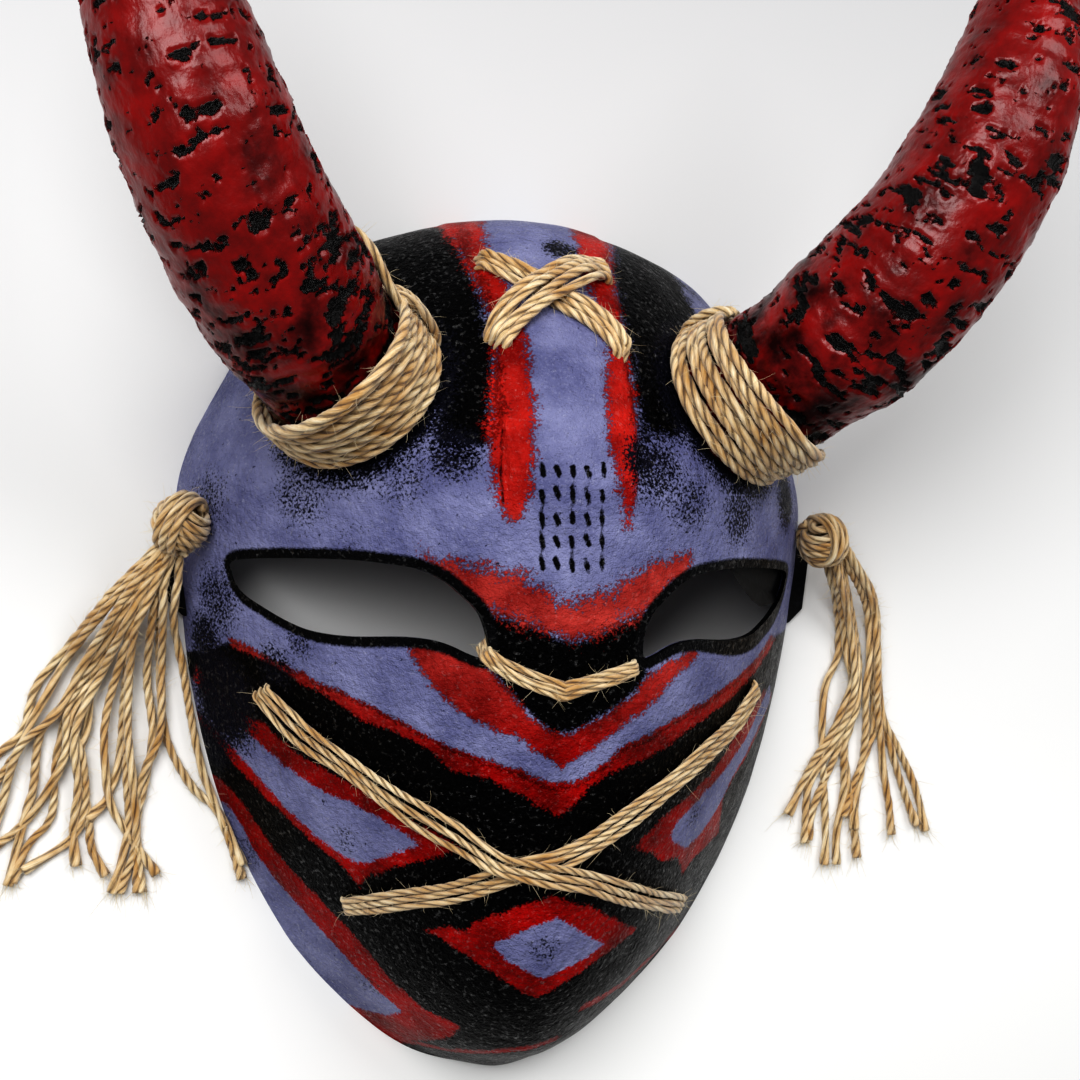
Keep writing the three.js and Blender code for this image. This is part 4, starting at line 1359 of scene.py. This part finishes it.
def winding_line(side):
    points = []
    radius = WINDING_RADIUS + TWINE / 2
    starts = [foot_distance(side, 2 * math.pi * i / POINTS_IN_TURN, radius) for i in range(POINTS_IN_TURN)]
    for i in range(WINDING_TURNS * POINTS_IN_TURN + 1):
        angle = 2 * math.pi * i / POINTS_IN_TURN
        turn = i / POINTS_IN_TURN
        wide, reach = winding_reach(side, angle)
        share = turn / WINDING_TURNS
        share += 0.08 * noise.noise(Vector((turn * 1.7, side * 5, 0)))
        layer = 0.5 - 0.5 * math.cos(math.pi * turn)
        lift = WINDING_DOUBLING * (1 - wide) * layer + 0.7 * noise.noise(Vector((turn * 2.3, side * 9, 4)))
        distance = starts[i % POINTS_IN_TURN] + TWINE / 2 + 0.3 + share * (reach - TWINE)
        points.append(around_foot(side, angle, radius + lift, distance))
    return np.array(points)


def knot_lines(side, angle, radius):
    """Two short turns of twine across the winding, where it is knotted."""
    start = foot_distance(side, angle, WINDING_RADIUS)
    reach = winding_reach(side, angle)[1]
    lines = []
    for shift in (-0.055, 0.055):
        points = []
        for i in range(13):
            turn = math.pi * (i / 12)
            distance = start + reach / 2 - math.cos(turn) * (reach / 2 + 0.5)
            lift = 1.2 + 3.6 * math.sin(turn)
            aside = angle + shift + 0.06 * math.cos(turn)
            points.append(around_foot(side, aside, WINDING_RADIUS + lift, distance))
        lines.append(np.array(points))
    return lines


CLIMB = [
    (40, 0.07), (60, 0.115), (90, 0.155), (120, 0.19), (150, 0.215), (172, 0.21), (188, 0.18),
    (200, 0.135), (208, 0.085), (212, 0.045),
]


def climbing_lines(side):
    """Two strands from the knot up the horn and round behind it. Angles are in degrees."""
    lines = []
    for gap in (0.0, 0.014):
        points = []
        for degrees, share in CLIMB:
            centre, ahead = horn_line(side, [share + gap, share + gap + 0.01])
            axis = (ahead - centre) / np.linalg.norm(ahead - centre)
            radius = float(horn_radius(share + gap)) + TWINE / 2 + 0.4
            points.append(centre + beside_axis(side, axis, math.radians(degrees), radius))
        lines.append(np.array(points))
    return lines


for name, side, knot_angle in (("left", -1, 203), ("right", 1, 165)):
    runs = [twine_run(winding_line(side), WINDING_TWINE)]
    runs += [twine_run(line) for line in knot_lines(side, math.radians(knot_angle), TWINE)]
    if side < 0:
        runs += [twine_run(line) for line in climbing_lines(side)]
    winding = twine_piece("winding_" + name, runs, jute)
    finish_piece(winding, "twine", "twine_horn_" + name)
    fuzz = fibres_for("winding_fibres_" + name, runs, jute_fibre)
    finish_piece(fuzz, "twine", "twine_horn_" + name)

# %% [markdown]
# ## The laced bands
# Three bands are laced through small holes: a large cross over the mouth, a small cross on the
# forehead and one length over the nose. Each strand follows the band's line over the face at its own
# distance from the middle, wanders a little, and dips into the face at both ends. Where two bands
# cross, the upper one rises in a long low hump.

# %% Band lines
MOUTH_OVER = [(-73.7, 3.8), (-62.6, -7.5), (-50.5, -16.3), (-38.4, -24), (-26.4, -30.9), (-14.1, -37.5),
              (-6.6, -39.4), (4.1, -42.3), (19.9, -47.9), (51.4, -60.4)]
MOUTH_UNDER = [(69.3, 5.4), (58, -5.3), (43.7, -13.4), (26.6, -23.3), (11.8, -32.1), (1, -37.3),
               (-6.6, -39.4), (-18.4, -44.5), (-29.7, -49.2), (-50.6, -56.9)]
FOREHEAD_OVER = seen_at([(611, 279), (590, 277), (559, 292), (532, 310), (509, 326), (492, 350)])[:, :2]
FOREHEAD_UNDER = seen_at([
    (473, 263), (505, 275), (536, 291), (560, 306), (583, 318), (607, 339), (623, 364),
])[:, :2]
NOSE_BAND = [(-22.5, 17.3), (-17.6, 13.3), (-10.3, 9.9), (-3.6, 7.5), (-1.3, 6.6), (0.8, 7.3), (7.9, 9.2),
             (14.8, 11.4), (20.3, 13.6)]
MOUTH_CROSSING = on_face(-6.6, -39.4)
FOREHEAD_CROSSING = seen_at([(555, 298)])[0]
DIP = 2.4
BAND_STEP = 1.5
LACING = 1.95
NOSE_TWINE = 1.9


def band_lines(route, asides, lifts, crossing=None, hump=0.0, seed=0.0):
    """One line for each strand: asides is its place across the band, lifts its layer."""
    plan = smooth_line(route, BAND_STEP)
    ways = np.gradient(plan, axis=0)
    across = np.column_stack((ways[:, 1], -ways[:, 0]))
    across /= np.linalg.norm(across, axis=1, keepdims=True)
    along = np.arange(len(plan)) * BAND_STEP
    from_end = np.minimum(along, along[::-1])
    lines = []
    for k, (aside, lift) in enumerate(zip(asides, lifts)):
        wander = np.array([noise.noise(Vector((s / 22, k * 3.1, seed))) for s in along])
        gather = 0.72 + 0.28 * smooth_step(from_end, 0, 14)
        shift = (aside * gather + 1.1 * wander * smooth_step(from_end, 2, 20))
        spots = plan + across * shift[:, None]
        base = on_face(spots[:, 0], spots[:, 1])
        normal = face_normal(spots[:, 0], spots[:, 1])
        raised = LACING / 2 + 0.1 + lift + strip_rise(spots[:, 0], spots[:, 1])
        raised -= (DIP + TWINE) * (1 - smooth_step(from_end, 0, 3.2))
        if crossing is not None:
            away = np.linalg.norm(base - crossing, axis=1)
            raised += hump * (1 - smooth_step(away, 6, 22))
        lines.append(base + normal * raised[:, None])
    return lines


def laced_band(name, node, lines, thickness=LACING):
    runs = [twine_run(line, thickness) for line in lines]
    band = twine_piece(name, runs, jute)
    finish_piece(band, "twine", node)
    fuzz = fibres_for(name + "_fibres", runs, jute_fibre)
    finish_piece(fuzz, "twine", node)


laced_band("mouth_band_under", "twine_mouth_under",
           band_lines(MOUTH_UNDER, (-2.2, 0, 2.2), (0, 0, 0), seed=1))
laced_band("mouth_band_over", "twine_mouth_over",
           band_lines(MOUTH_OVER, (-2.4, 0, 2.3), (0, 0, 0), MOUTH_CROSSING, LACING, seed=2))
laced_band("forehead_band_under", "twine_forehead_under",
           band_lines(FOREHEAD_UNDER, (-2.3, 0, 2.3, -0.9), (0, 0.4, 0, 1.9), seed=3), TWINE)
laced_band("forehead_band_over", "twine_forehead_over",
           band_lines(FOREHEAD_OVER, (-3.6, -1.2, 1.2, 3.6), (0, 0.5, 0.5, 0), FOREHEAD_CROSSING,
                      TWINE * 1.5, seed=4), TWINE)
laced_band("nose_band", "twine_nose",
           band_lines(NOSE_BAND, (-1.6, 0.1, 1.6), (0, 0.4, 0), seed=5), NOSE_TWINE)

# %% [markdown]
# ## The tassels
# At each side a length of twine is knotted into a ball against the face, and its ends fall to the
# table and spread. The strands were read where they lie on the table. A strand that is still above
# the table is moved towards the camera along its line of sight, so it stays where the picture has it.

# %% Strands on the table
KNOT_PLACE = (0.915, 0.636)
KNOT_RADIUS = 8.3
KNOT_BALL = {-1: 9.3, 1: 8.4}
STRAND_THICKNESS = 2.5
STRAND_SWELL = 0.15
FALL_LENGTH = 30.0
FALL_HEIGHT = 13.0
FRAYED = 0.35
STRANDS_LEFT = [
    [(-112, 27), (-124, 11), (-132, 0), (-135, -12), (-141, -18), (-147, -24), (-155, -40)],
    [(-110, 27), (-122, 11), (-127, 2), (-133, -10), (-136, -17), (-145, -32), (-152, -47)],
    [(-109, 25), (-119, 7), (-126, -7), (-136, -17), (-140, -32), (-142, -39), (-146, -52)],
    [(-108, 25), (-114, 10), (-120, 0), (-130, -12), (-132, -28), (-134, -36), (-138, -55)],
    [(-107, 25), (-115, 10), (-123, -5), (-124, -20), (-132, -35), (-140, -43), (-145, -45)],
    [(-107, 25), (-115, 10), (-122, -3), (-126, -20), (-127, -36), (-133, -44), (-137, -54)],
    [(-106, 25), (-114, 8), (-122, -8), (-119, -20), (-118, -34), (-122, -43), (-134, -51)],
    [(-105, 25), (-113, 7), (-121, -12), (-120, -28), (-121, -40), (-120, -50)],
    [(-105, 25), (-112, 10), (-117, -1), (-118, -12), (-120, -20), (-117, -36), (-116, -45), (-112, -53)],
    [(-104, 25), (-110, 5), (-113, -9), (-113, -20), (-111, -33), (-105, -43), (-98, -53)],
    [(-104, 25), (-106, 16), (-108, -1), (-109, -20), (-112, -31), (-117, -37)],
    [(-103, 25), (-107, 11), (-107, -5), (-107, -24), (-106, -36), (-107, -46), (-110, -58)],
    [(-102, 25), (-106, 14), (-107, -9), (-105, -28), (-104, -44), (-108, -58)],
    [(-100, 27), (-101, 19), (-102, 3), (-100, -13), (-102, -28), (-104, -40), (-103, -58)],
    [(-98, 29), (-98, 21), (-98, 3), (-98, -13), (-102, -24), (-104, -35), (-102, -58)],
    [(-98, 30), (-99, 23), (-98, -1), (-96, -15), (-89, -28), (-81, -36), (-74, -51)],
    [(-94, 31), (-95, 19), (-92, 5), (-89, -11), (-85.5, -25), (-79, -41), (-74, -55)],
]
STRANDS_RIGHT = [
    [(106, 40), (110, 26), (111, 11), (107, 1), (106, -13), (107, -29), (108, -45), (108, -56)],
    [(108, 40), (112, 23), (114, 10), (116, 2), (112, -9), (108, -17), (103, -24), (95, -40)],
    [(109, 40), (114, 23), (117, -1), (110, -18), (102, -31), (101, -49)],
    [(109, 40), (115, 11), (116, -5), (111, -21), (104, -37), (102, -48)],
    [(110, 41), (117, 11), (118, -5), (114, -17), (114, -33), (112, -45), (112, -56)],
    [(111, 42), (118, 8), (116, -11), (114, -21), (118, -45), (119, -54)],
    [(111, 43), (120, 27), (122, 11), (121, -1), (121, -18), (118, -37), (118, -45)],
    [(113, 44), (122, 29), (124, 18), (125, 7), (125, -5), (126, -13), (128, -28), (130, -38), (131, -47)],
    [(113, 44), (122, 27), (124, 3), (127, -9), (132, -25), (137, -38), (140, -44)],
    [(114, 43), (123, 28), (125, 5), (127, -9), (133, -20), (139, -32), (143, -46)],
    [(112, 43), (121, 26), (124, -10), (122, -19), (117, -32), (114, -41)],
]


def knot_middle(side):
    share = KNOT_PLACE[1]
    x = side * KNOT_PLACE[0] * float(half_width_at(share))
    y = float(y_at(share))
    return on_face(x, y) + face_normal(np.float64(x), np.float64(y)) * KNOT_RADIUS


def strand_line(side, route, layer):
    """From inside the knot down to the table and along it."""
    table = smooth_line(route, 2.0)
    along = np.arange(len(table)) * 2.0
    from_end = along[::-1]
    thickest = STRAND_THICKNESS / 2 * (1 + STRAND_SWELL)
    rest = thickest * (1 + FRAYED * (1 - smooth_step(from_end, 2, 9)))
    rest += layer * (1 - smooth_step(along, 40, 75))
    heights = rest + FALL_HEIGHT * (1 - smooth_step(along, 0, FALL_LENGTH)) ** 1.3
    lying = np.column_stack((table, np.zeros(len(table))))
    lying += (CAMERA_PLACE - lying) * (heights / CAMERA_PLACE[2])[:, None]
    middle = knot_middle(side)
    start = middle + (lying[0] - middle) * 0.25
    return np.vstack((start, lying))


def knot_loops(side):
    """Turns of twine over a ball: one set across it, and three turns over the top of those."""
    middle = knot_middle(side)
    loops = []
    ball = KNOT_BALL[side]
    for turns, lean, radius, spacing in ((6, 0.5, ball - 2.4, 2.2), (3, 1.9, ball - 1.2, 2.4)):
        points = []
        for i in range(turns * 16 + 1):
            angle = 2 * math.pi * i / 16
            offset = (i / 16 - turns / 2) * spacing
            ring = math.sqrt(max(radius ** 2 - offset ** 2, 4.0))
            spot = Vector((ring * math.cos(angle), offset, ring * math.sin(angle)))
            spot.rotate(Euler((0.35, 0.2, lean * side)))
            points.append(middle + np.array(spot))
        loops.append(np.array(points))
    return loops


for name, side, strands in (("left", -1, STRANDS_LEFT), ("right", 1, STRANDS_RIGHT)):
    runs = []
    for k, route in enumerate(strands):
        layer = (k * 7 % 5) / 4 * TWINE * 1.5
        line, radii, tilts = twine_run(strand_line(side, route, layer), STRAND_THICKNESS, STRAND_SWELL)
        from_end = np.arange(len(line))[::-1] * TWINE_STEP
        radii = radii * (1 + FRAYED * (1 - smooth_step(from_end, 1, 7)))
        runs.append((line, radii, tilts))
    loops = [twine_run(line, TWINE) for line in knot_loops(side)]
    tassel = twine_piece("tassel_strands_" + name, runs + loops, jute)
    finish_piece(tassel, "twine", "tassel_" + name)
    fuzz = fibres_for("tassel_fibres_" + name, runs, jute_fibre, fan=14)
    finish_piece(fuzz, "twine", "tassel_" + name)
    ball_fuzz = fibres_for("tassel_knot_fibres_" + name, loops, jute_fibre)
    finish_piece(ball_fuzz, "twine", "tassel_" + name)
